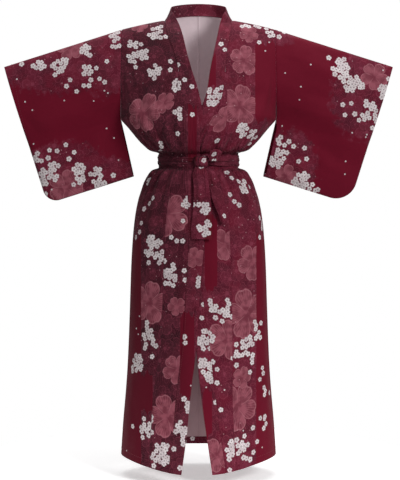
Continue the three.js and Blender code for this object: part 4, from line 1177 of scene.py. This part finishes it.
def new_group(name, inputs, outputs):
    """A shader node group with named sockets; returns its desk, its inputs and its exit."""
    tree = bpy.data.node_groups.new(name, "ShaderNodeTree")
    for label, kind, value in inputs:
        socket = tree.interface.new_socket(label, in_out="INPUT", socket_type=kind)
        if value is not None:
            socket.default_value = value
    for label, kind in outputs:
        tree.interface.new_socket(label, in_out="OUTPUT", socket_type=kind)
    desk = Desk(tree)
    return desk, desk.put("NodeGroupInput").outputs, desk.put("NodeGroupOutput").inputs


def new_finish(name):
    """A new material, with its desk and its main shader."""
    material = bpy.data.materials.new(name)
    material.use_nodes = True
    return material, Desk(material.node_tree), material.node_tree.nodes["Principled BSDF"]


# %% [markdown]
# ## Effects that several finishes share
# Each of these is a node group with named inputs: the weave, the drawn blossom, the line
# drawings in the ground, the gentle unevenness of dyed cloth, and the fine creases that the
# belt pulls into the cloth near the waist. A blossom is drawn from two numbers, how far a place
# is from its middle and which way round it lies, since five petals repeat five times a turn.

# %% Shared groups
NUMBER, ARROW, COLOUR = "NodeSocketFloat", "NodeSocketVector", "NodeSocketColor"
WHITE = (1, 1, 1, 1)


def weave_group():
    """Plain weave: threads that pass over and under each other, as a height."""
    desk, given, out = new_group(
        "plain_weave", [("Cloth", ARROW, None), ("Threads per metre", NUMBER, 900.0)],
        [("Height", NUMBER)])
    x, y, _ = desk.split(desk.scale(given["Cloth"], given["Threads per metre"]))
    warp, weft = (desk.math("SINE", desk.times(way, math.pi)) for way in (x, y))
    slub = desk.noise(given["Cloth"], 260.0, 3.0)
    desk.feed(out["Height"], desk.math("ADD", desk.times(warp, weft, 0.5), slub))
    return desk.tree


def blossom_group():
    """A five-petalled blossom about the place (0, 0), one unit in radius."""
    desk, given, out = new_group(
        "five_petals", [("Place", ARROW, None), ("Notch", NUMBER, 0.12)],
        [("Petals", NUMBER), ("Outline", NUMBER), ("Heart", NUMBER), ("Rays", NUMBER)])
    x, y, _ = desk.split(given["Place"])
    far = desk.math("SQRT", desk.math("ADD", desk.times(x, x), desk.times(y, y)))
    turn = desk.times(desk.math("ARCTAN2", y, x), 5 / (2 * math.pi))
    side = desk.times(desk.apart(desk.math("FRACT", turn), 0.5), 2)
    bow = desk.math("SQRT", desk.math("SUBTRACT", 1.0, desk.times(side, side), clamp=True))
    notch = desk.times(desk.smooth(side, 0.0, 0.28, 1.0, 0.0), given["Notch"])
    rim = desk.math("SUBTRACT", desk.math("MULTIPLY_ADD", bow, 0.46, 0.54), notch)
    inside = desk.math("SUBTRACT", rim, far)
    petals = desk.smooth(inside, -0.02, 0.03)
    desk.feed(out["Petals"], petals)
    edge = desk.smooth(desk.apart(inside, 0.03), 0.015, 0.05, 1.0, 0.0)
    split = desk.times(desk.smooth(side, 0.90, 0.98), desk.smooth(far, 0.12, 0.2))
    desk.feed(out["Outline"], desk.times(desk.math("MAXIMUM", edge, split), petals))
    dots = desk.times(desk.smooth(desk.apart(far, 0.3), 0.03, 0.08, 1.0, 0.0),
                      desk.smooth(side, 0.16, 0.3, 1.0, 0.0))
    desk.feed(out["Heart"], desk.math("MAXIMUM", desk.smooth(far, 0.13, 0.22, 1.0, 0.0), dots))
    ray = desk.math("SINE", desk.times(turn, 2 * math.pi * 9))
    desk.feed(out["Rays"], desk.times(desk.smooth(ray, 0.2, 0.9), desk.smooth(far, 0.15, 0.5)))
    return desk.tree


def drawing_group(petals):
    """Line drawings of overlapping blossoms: one in each cell of a loose pattern."""
    desk, given, out = new_group(
        "ground_drawing", [("Cloth", ARROW, None), ("Size", NUMBER, 0.03)],
        [("Lines", NUMBER), ("Fill", NUMBER), ("Shade", NUMBER)])
    per_metre = desk.math("DIVIDE", 1.0, given["Size"])
    inputs = {"Randomness": 0.55, "Vector": given["Cloth"], "Scale": per_metre}
    cells = desk.put("ShaderNodeTexVoronoi", inputs, voronoi_dimensions="2D").outputs
    away = desk.vector("SUBTRACT", given["Cloth"], cells["Position"])
    large, spin, tone = desk.split_colour(cells["Color"])
    shrink = desk.math("DIVIDE", desk.math("MULTIPLY_ADD", large, 1.0, 1.7), given["Size"])
    inputs = {"Vector": desk.scale(away, shrink), "Angle": desk.times(spin, 2 * math.pi)}
    spun = desk.put("ShaderNodeVectorRotate", inputs, rotation_type="Z_AXIS").outputs[0]
    drawn = desk.group(petals, spun, 0.1)
    lines = desk.math("MAXIMUM", drawn["Outline"], drawn["Heart"])
    desk.feed(out["Lines"], desk.math("MAXIMUM", lines, desk.times(drawn["Rays"], 0.35)))
    desk.feed(out["Fill"], drawn["Petals"])
    desk.feed(out["Shade"], tone)
    return desk.tree


def uneven_group():
    """Slow and fine light and dark drifts of dyed cloth."""
    desk, given, out = new_group(
        "uneven_dye", [("Colour", COLOUR, WHITE), ("Amount", NUMBER, 0.08)], [("Colour", COLOUR)])
    place = desk.object_place()
    slow, fine = (desk.math("SUBTRACT", desk.noise(place, scale, detail), 0.5)
                  for scale, detail in ((5.0, 2.0), (70.0, 3.0)))
    drift = desk.math("ADD", slow, desk.times(fine, 0.5))
    light = desk.math("MULTIPLY_ADD", drift, desk.times(given["Amount"], 2.0), 1.0)
    desk.feed(out["Colour"], desk.scale(given["Colour"], light))
    return desk.tree


def crease_group():
    """Fine upright creases where the cloth is pulled in at the waist, and faint ones elsewhere."""
    desk, given, out = new_group("waist_creases", [("Cloth", ARROW, None)], [("Height", NUMBER)])
    x, _, z = desk.split(desk.object_place())
    drop = desk.math("ABSOLUTE", desk.math("ADD", z, 0.395))
    near = desk.times(desk.smooth(drop, 0.0, 0.17, 1.0, 0.0),
                      desk.smooth(desk.math("ABSOLUTE", x), 0.17, 0.20, 1.0, 0.0))
    upright, narrow, broad = (
        desk.noise(desk.vector("MULTIPLY", given["Cloth"], (across, along, 1.0)), 1.0, detail)
        for across, along, detail in ((62.0, 6.0, 2.0), (150.0, 11.0, 1.0), (9.0, 5.0, 2.0)))
    fine = desk.math("MULTIPLY_ADD", narrow, 0.35, upright)
    desk.feed(out["Height"], desk.math("MULTIPLY_ADD", fine, near, desk.times(broad, 0.7)))
    return desk.tree


weave, five_petals, uneven = weave_group(), blossom_group(), uneven_group()
creased = crease_group()
drawing = drawing_group(five_petals)
print("groups", [group.name for group in bpy.data.node_groups])

# %% [markdown]
# ## The printed finish
# The colours are laid on as a printer lays them: the plain maroon first, then the dusky ground
# with its line drawings, then the large mauve blossoms, and the small white ones last. Towards
# the side of the body turned from the window light, painted shade darkens the plain cloth and
# the ground, and the ground's print is deeper there as well; an attribute of the cloth says by
# how much. The cloth is smooth and a little soft to the light, so it is rough, with a faint sheen.

# %% Printed cloth
PLAIN_DYE, GROUND_DYE, DEEP_DYE_AND_SHADE = dye(106, 4, 33), dye(86, 5, 32), dye(30, 3, 12)
LINE_DYE, MAUVE_DYE, MAUVE_LINE = dye(142, 60, 80), dye(150, 78, 92), dye(172, 108, 118)
WHITE_DYE, WHITE_SHADE, HEART_DYE = dye(230, 222, 223), dye(192, 174, 178), dye(50, 14, 24)
SPRAY_DYE, BELT_DYE, PETAL_LINE = dye(186, 140, 148), dye(96, 14, 30), dye(124, 84, 94)
# the ground's drawings: shift along the cloth, size of a cell, strength of petals and lines
DRAWINGS = [((0.0, 0.0, 0.0), 0.066, 0.16, 0.55), ((0.317, 0.129, 0.0), 0.038, 0.10, 0.5),
            ((0.0, 0.0, 0.0), 0.023, 0.0, 0.3)]
SPRAYS_PER_METRE = 95.0


def ground_colour(desk, cloth, plain, dark):
    """The dusky ground: three sizes of line drawing over patches of lighter and deeper dye, with painted
    shade towards one side of the body.
    """
    patch = desk.smooth(desk.noise(cloth, 14.0, 2.0), 0.40, 0.64)
    tone = desk.mix(desk.times(patch, 0.6), GROUND_DYE, plain)
    deep = desk.smooth(desk.noise(desk.vector("ADD", cloth, (3.1, 1.7, 0.0)), 22.0, 3.0), 0.46, 0.62)
    # painted shade: dark deepens the ground towards the side of the body turned from the light, here and at
    # the end
    tone = desk.mix(desk.times(deep, desk.math("MULTIPLY_ADD", dark, 0.45, 0.4)), tone, DEEP_DYE_AND_SHADE)
    tone = desk.mix(desk.times(dark, 0.68), tone, DEEP_DYE_AND_SHADE)
    for shift, size, fill, line in DRAWINGS:
        drawn = desk.group(drawing, desk.vector("ADD", cloth, shift), size)
        tone = desk.mix(desk.times(drawn["Shade"], fill, drawn["Fill"]), tone, LINE_DYE)
        tone = desk.mix(desk.times(drawn["Lines"], line), tone, LINE_DYE)
    return desk.mix(desk.times(dark, 0.15), tone, DEEP_DYE_AND_SHADE)


def print_colour(desk, cloth, plain, strength=1.0):
    """The whole print over a plain colour; strength fades it, as on the cloth's reverse."""
    ragged = desk.math("SUBTRACT", desk.noise(cloth, 55.0, 3.0), 0.5)
    ragged = desk.math("MULTIPLY_ADD", ragged, 4.0, desk.attribute("ground_edge"))
    ground, dark = desk.smooth(ragged, -0.6, 0.6), desk.attribute("side_shade")
    # painted shade: the plain cloth is darkened towards the same side
    base = desk.mix(desk.times(dark, 0.3 * strength), plain, DEEP_DYE_AND_SHADE)
    colour = desk.mix(desk.times(ground, strength), base, ground_colour(desk, cloth, plain, dark))
    mottle = desk.smooth(desk.noise(cloth, 48.0, 4.0), 0.36, 0.62)
    petal = desk.mix(desk.times(mottle, 0.62), MAUVE_DYE, GROUND_DYE)
    for store in range(LARGE_STORES):
        drawn = desk.group(five_petals, desk.attribute(f"large_{store + 1}", "Vector"), 0.06)
        body = desk.mix(desk.times(drawn["Rays"], 0.32), petal, MAUVE_LINE)
        body = desk.mix(desk.times(drawn["Outline"], 0.6), body, MAUVE_LINE)
        colour = desk.mix(desk.times(drawn["Petals"], ground, strength), colour, body)
    spray = desk.put("ShaderNodeTexVoronoi", {"Vector": cloth, "Scale": SPRAYS_PER_METRE},
                     voronoi_dimensions="2D").outputs
    rare = desk.times(desk.smooth(desk.split_colour(spray["Color"])[0], 0.84, 0.86),
                      desk.smooth(spray["Distance"], 0.10, 0.18, 1.0, 0.0),
                      desk.smooth(desk.noise(cloth, 12.0, 1.0), 0.50, 0.58))
    colour = desk.mix(desk.times(rare, ground, 0.75 * strength), colour, SPRAY_DYE)
    for store in range(SMALL_STORES):
        place = desk.attribute(f"small_{store + 1}", "Vector")
        drawn, tint = desk.group(five_petals, place, 0.10), desk.split(place)[2]
        white = desk.mix(desk.times(tint, 0.6), WHITE_DYE, WHITE_SHADE)
        white = desk.mix(desk.times(drawn["Outline"], 0.8), white, PETAL_LINE)
        white = desk.mix(desk.times(drawn["Heart"], 0.85), white, HEART_DYE)
        colour = desk.mix(desk.times(drawn["Petals"], strength), colour, white)
    return colour


def cloth_material(name, build, roughness, bump_height, turned=0.0):
    """A cloth finish; turned is the angle by which its fine creases lie across the cloth."""
    material, desk, shader = new_finish(name)
    cloth = desk.put("ShaderNodeUVMap", uv_map="cloth").outputs[0]
    way = desk.put("ShaderNodeMapping", {"Vector": cloth, "Rotation": (0.0, 0.0, turned)}).outputs[0]
    folds = desk.put("ShaderNodeBump", {"Distance": 0.019, "Height": desk.group(creased, way)["Height"]})
    threads = desk.group(weave, cloth, 900.0)["Height"]
    bump = desk.put("ShaderNodeBump", {
        "Strength": 0.5, "Distance": bump_height, "Normal": folds.outputs[0],
        "Height": desk.math("MULTIPLY_ADD", desk.noise(cloth, 34.0, 3.0), 3.0, threads)})
    desk.feed_all(shader, {
        "Base Color": desk.group(uneven, build(desk, cloth), 0.09)[0], "Roughness": roughness,
        "Specular IOR Level": 0.14, "Sheen Weight": 0.03, "Sheen Roughness": 0.55,
        "Normal": bump.outputs[0]})
    return material


def in_print(plain):
    return lambda desk, cloth: print_colour(desk, cloth, plain)


printed = cloth_material("printed_cloth", in_print(PLAIN_DYE), 0.8, 0.0004)
belt_print = cloth_material("belt_print", in_print(BELT_DYE), 0.8, 0.0005)
pulled_print = cloth_material("pulled_print", in_print(BELT_DYE), 0.8, 0.0005, math.pi / 2)

# %% [markdown]
# ## The pale reverse
# The print is on one side only. Seen from behind, the dye has come through just enough to leave
# a faint rosy shadow of the ground and the blossoms on pale cloth. Lower down, deeper inside the
# robe, the pale cloth is darkened by painted shade.

# %% Reverse
REVERSE, REVERSE_IN_SHADE, REVERSE_PLAIN = dye(255, 236, 241), dye(190, 160, 165), dye(196, 158, 168)


def reverse_colour(desk, cloth):
    height = desk.split(desk.object_place())[2]
    # painted shade: the pale reverse darkens towards the bottom of the robe
    shaded_inside = desk.mix(desk.smooth(height, -0.9, -0.05), REVERSE_IN_SHADE, REVERSE)
    return desk.mix(0.10, shaded_inside, print_colour(desk, cloth, REVERSE_PLAIN, 0.9))


pale_reverse = cloth_material("pale_reverse", reverse_colour, 0.85, 0.0004)
for name, data in pieces.items():
    on_belt = belt_print if name.startswith("belt") else printed
    data["object"].data.materials.append(pulled_print if name == "belt_round_cloth" else on_belt)
    data["object"].data.materials.append(pale_reverse)
print("materials", [material.name for material in bpy.data.materials])

# %% [markdown]
# ## Stitches
# A robe like this is sewn with small running stitches. They show as short threads along the
# turned hem, the cuffs, and the edge where the band meets the fronts. Every stitch is the same
# little thread, so Geometry Nodes lay one thread at equal steps along a line. The result is
# turned into plain mesh, since a finished model carries no instances.

# %% Stitch tree and thread


def thread_material():
    material, desk, shader = new_finish("sewing_thread")
    twist = desk.noise(desk.object_place(), 900.0, 2.0)
    bump = desk.put("ShaderNodeBump", {"Distance": 0.0002, "Height": twist})
    desk.feed_all(shader, {"Base Color": desk.mix(twist, dye(96, 20, 38), dye(132, 42, 60)),
                           "Roughness": 0.6, "Normal": bump.outputs[0]})
    return material


def stitch_tree(material):
    tree = bpy.data.node_groups.new("running_stitch", "GeometryNodeTree")
    face = tree.interface
    face.new_socket("Geometry", in_out="INPUT", socket_type="NodeSocketGeometry")
    for label, value in (("Spacing", 0.007), ("Stitch length", 0.0034), ("Thread radius", 0.0004)):
        face.new_socket(label, in_out="INPUT", socket_type="NodeSocketFloat").default_value = value
    face.new_socket("Geometry", in_out="OUTPUT", socket_type="NodeSocketGeometry")
    desk = Desk(tree)
    given, out = desk.put("NodeGroupInput").outputs, desk.put("NodeGroupOutput").inputs
    points = desk.put("GeometryNodeCurveToPoints", mode="LENGTH")
    desk.feed_all(points, {"Curve": given["Geometry"], "Length": given["Spacing"]})
    thread = desk.put("GeometryNodeMeshCylinder", {
        "Vertices": 6, "Radius": given["Thread radius"], "Depth": given["Stitch length"]})
    placed = desk.put("GeometryNodeInstanceOnPoints", {
        "Points": points.outputs["Points"], "Instance": thread.outputs["Mesh"],
        "Rotation": points.outputs["Rotation"]})
    real = desk.put("GeometryNodeRealizeInstances", {0: placed.outputs[0]})
    dressed = desk.put("GeometryNodeSetMaterial", {"Geometry": real.outputs[0], "Material": material})
    desk.feed(out["Geometry"], dressed.outputs[0])
    return tree


running_stitch = stitch_tree(thread_material())


def sew(name, lines, spacing=0.007):
    """Lay running stitches along lines of points in millimetres, as one plain mesh."""
    curve = bpy.data.curves.new(name + "_line", "CURVE")
    curve.dimensions = "3D"
    for line in lines:
        spline = curve.splines.new("POLY")
        spline.points.add(len(line) - 1)
        points = np.concatenate([np.asarray(line) * MM, np.ones((len(line), 1))], 1)
        spline.points.foreach_set("co", points.ravel())
    guide = bpy.data.objects.new(name + "_line", curve)
    scene.collection.objects.link(guide)
    modifier = guide.modifiers.new("stitches", "NODES")
    modifier.node_group = running_stitch
    for item in running_stitch.interface.items_tree:
        if item.item_type == "SOCKET" and item.name == "Spacing":
            modifier[item.identifier] = spacing
    scene.view_layers[0].update()
    mesh = bpy.data.meshes.new_from_object(guide.evaluated_get(bpy.context.evaluated_depsgraph_get()))
    stitches = bpy.data.objects.new(name, mesh)
    scene.collection.objects.link(stitches)
    bpy.data.objects.remove(guide)
    print(name, len(mesh.polygons), "faces")
    return stitches


def line_on(data, row=slice(None), col=slice(None), off=0.2):
    """A line of points just off the outside of a piece, along a row or a column of its grid."""
    return data["grid"][row, col] + data["normal"][row, col] * (CLOTH / 2 + off)


# %% [markdown]
# ## Where the stitches go
# The hem's stitches run just below the top of its turned-up cloth, one line round all six body
# pieces. The cuffs have a line each, and the band one line beside its seam. The band's cloth is
# folded, so its stitches stand a little further off.

# %% Sew the hems, cuffs and band
HEM_STITCH_DROP = 2            # the stitches lie this far below the top of the hem
CUFF_ROW = -7                  # the row about 22 mm in from the cuff's edge
hem_row = sum(in_hem(row, HEM_TURN - HEM_STITCH_DROP) for row in body_rows())
body_names = ["back_left", "back_right", "front_right", "front_left", "overlap_right", "overlap_left"]
cuff_names = ["sleeve_right_cloth", "sleeve_left_cloth"]
sewn = [sew("hem_stitches", [line_on(pieces[n + "_cloth"], row=hem_row) for n in body_names]),
        sew("cuff_stitches", [line_on(pieces[n], row=CUFF_ROW) for n in cuff_names]),
        sew("band_stitches", [line_on(pieces["collar_band_cloth"], col=1, off=0.75)], 0.006)]

# %% [markdown]
# ## Attaching the pieces
# Every piece rides on the robe's one body and takes the place of its plain solid. The stitches
# ride on the same body.

# %% Pieces on the body
HELD = {"back_left": "hung", "back_right": "hung", "front_right": "hung", "front_left": "hung",
        "overlap_right": "hung", "overlap_left": "hung", "collar_band": "folded", "sleeve_right": "folded",
        "sleeve_left": "folded", "belt_round": "gathered", "belt_knot": "gathered", "belt_loop": "folded",
        "belt_tail_centre": "hung", "belt_tail_side": "hung"}
for name, held in HELD.items():
    data = pieces[name + "_cloth"]
    piece = data["object"]
    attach(piece, "root")
    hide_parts(name)
for stitches in sewn:
    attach(stitches, "root")

# %% [markdown]
# ## Floor and light
# Soft light from a large window-like panel in front, a little to one side, shows the folds
# without hard shadows. A pale floor lies just below the hem. The camera sees a white
# background, while the cloth is lit by a much dimmer one.

# %% Floor and light
FLOOR_RADIUS, FLOOR_Z, FLOOR_SIDES = 0.75, -1.3, 96
floor_mesh = bpy.data.meshes.new("floor")
turns = np.linspace(0, 2 * np.pi, FLOOR_SIDES + 1)[:-1]
rim = [(FLOOR_RADIUS * math.cos(turn), FLOOR_RADIUS * math.sin(turn), FLOOR_Z) for turn in turns]
floor_mesh.from_pydata(rim, [], [tuple(range(FLOOR_SIDES))])
floor = bpy.data.objects.new("floor", floor_mesh)
scene.collection.objects.link(floor)
floor_paint, desk, shader = new_finish("floor_paint")
desk.feed_all(shader, {"Base Color": (0.97, 0.97, 0.97, 1), "Roughness": 0.9, "Emission Color": WHITE,
                       "Emission Strength": 0.4})
floor_mesh.materials.append(floor_paint)

world = bpy.data.worlds.new("studio")
scene.world = world
world.use_nodes = True
desk, nodes = Desk(world.node_tree), world.node_tree.nodes
desk.feed_all(nodes["Background"], {"Color": WHITE, "Strength": 0.28})
seen = desk.put("ShaderNodeBackground", {"Color": WHITE, "Strength": 1.0})
by_camera = desk.put("ShaderNodeLightPath").outputs["Is Camera Ray"]
shades = {0: by_camera, 1: nodes["Background"].outputs[0], 2: seen.outputs[0]}
choose = desk.put("ShaderNodeMixShader", shades)
desk.feed(nodes["World Output"].inputs[0], choose.outputs[0])


def panel_light(name, place, aim, size, power):
    light = bpy.data.lights.new(name, "AREA")
    light.shape = "DISK"
    light.size, light.energy = size, power
    lamp = bpy.data.objects.new(name, light)
    lamp.location = place
    lamp.rotation_euler = (Vector(aim) - Vector(place)).to_track_quat("-Z", "Y").to_euler()
    scene.collection.objects.link(lamp)


panel_light("window", (2.4, -2.9, 1.3), (0, 0, -0.6), 1.2, 80)
panel_light("ceiling", (0, 0.3, 2.4), (0, 0.3, -1.3), 3.0, 66)
panel_light("fill", (-2.2, -2.8, 0.0), (0, 0, -0.6), 2.4, 7)

# %% [markdown]
# ## The camera
# The camera stands level with the middle of the robe, three metres away, where the chart was
# measured from. Its view is 1.152 metres wide at the robe's middle.

# %% Camera
camera = bpy.data.objects.new("camera", bpy.data.cameras.new("camera"))
scene.collection.objects.link(camera)
camera.location = (0.0043, -3.0, -0.628)
camera.rotation_euler = (math.pi / 2, 0, 0)
camera.data.sensor_fit = "HORIZONTAL"
camera.data.angle = 2 * math.atan(0.576 / 3.0)
scene.camera = camera
scene.view_settings.view_transform = "Standard"
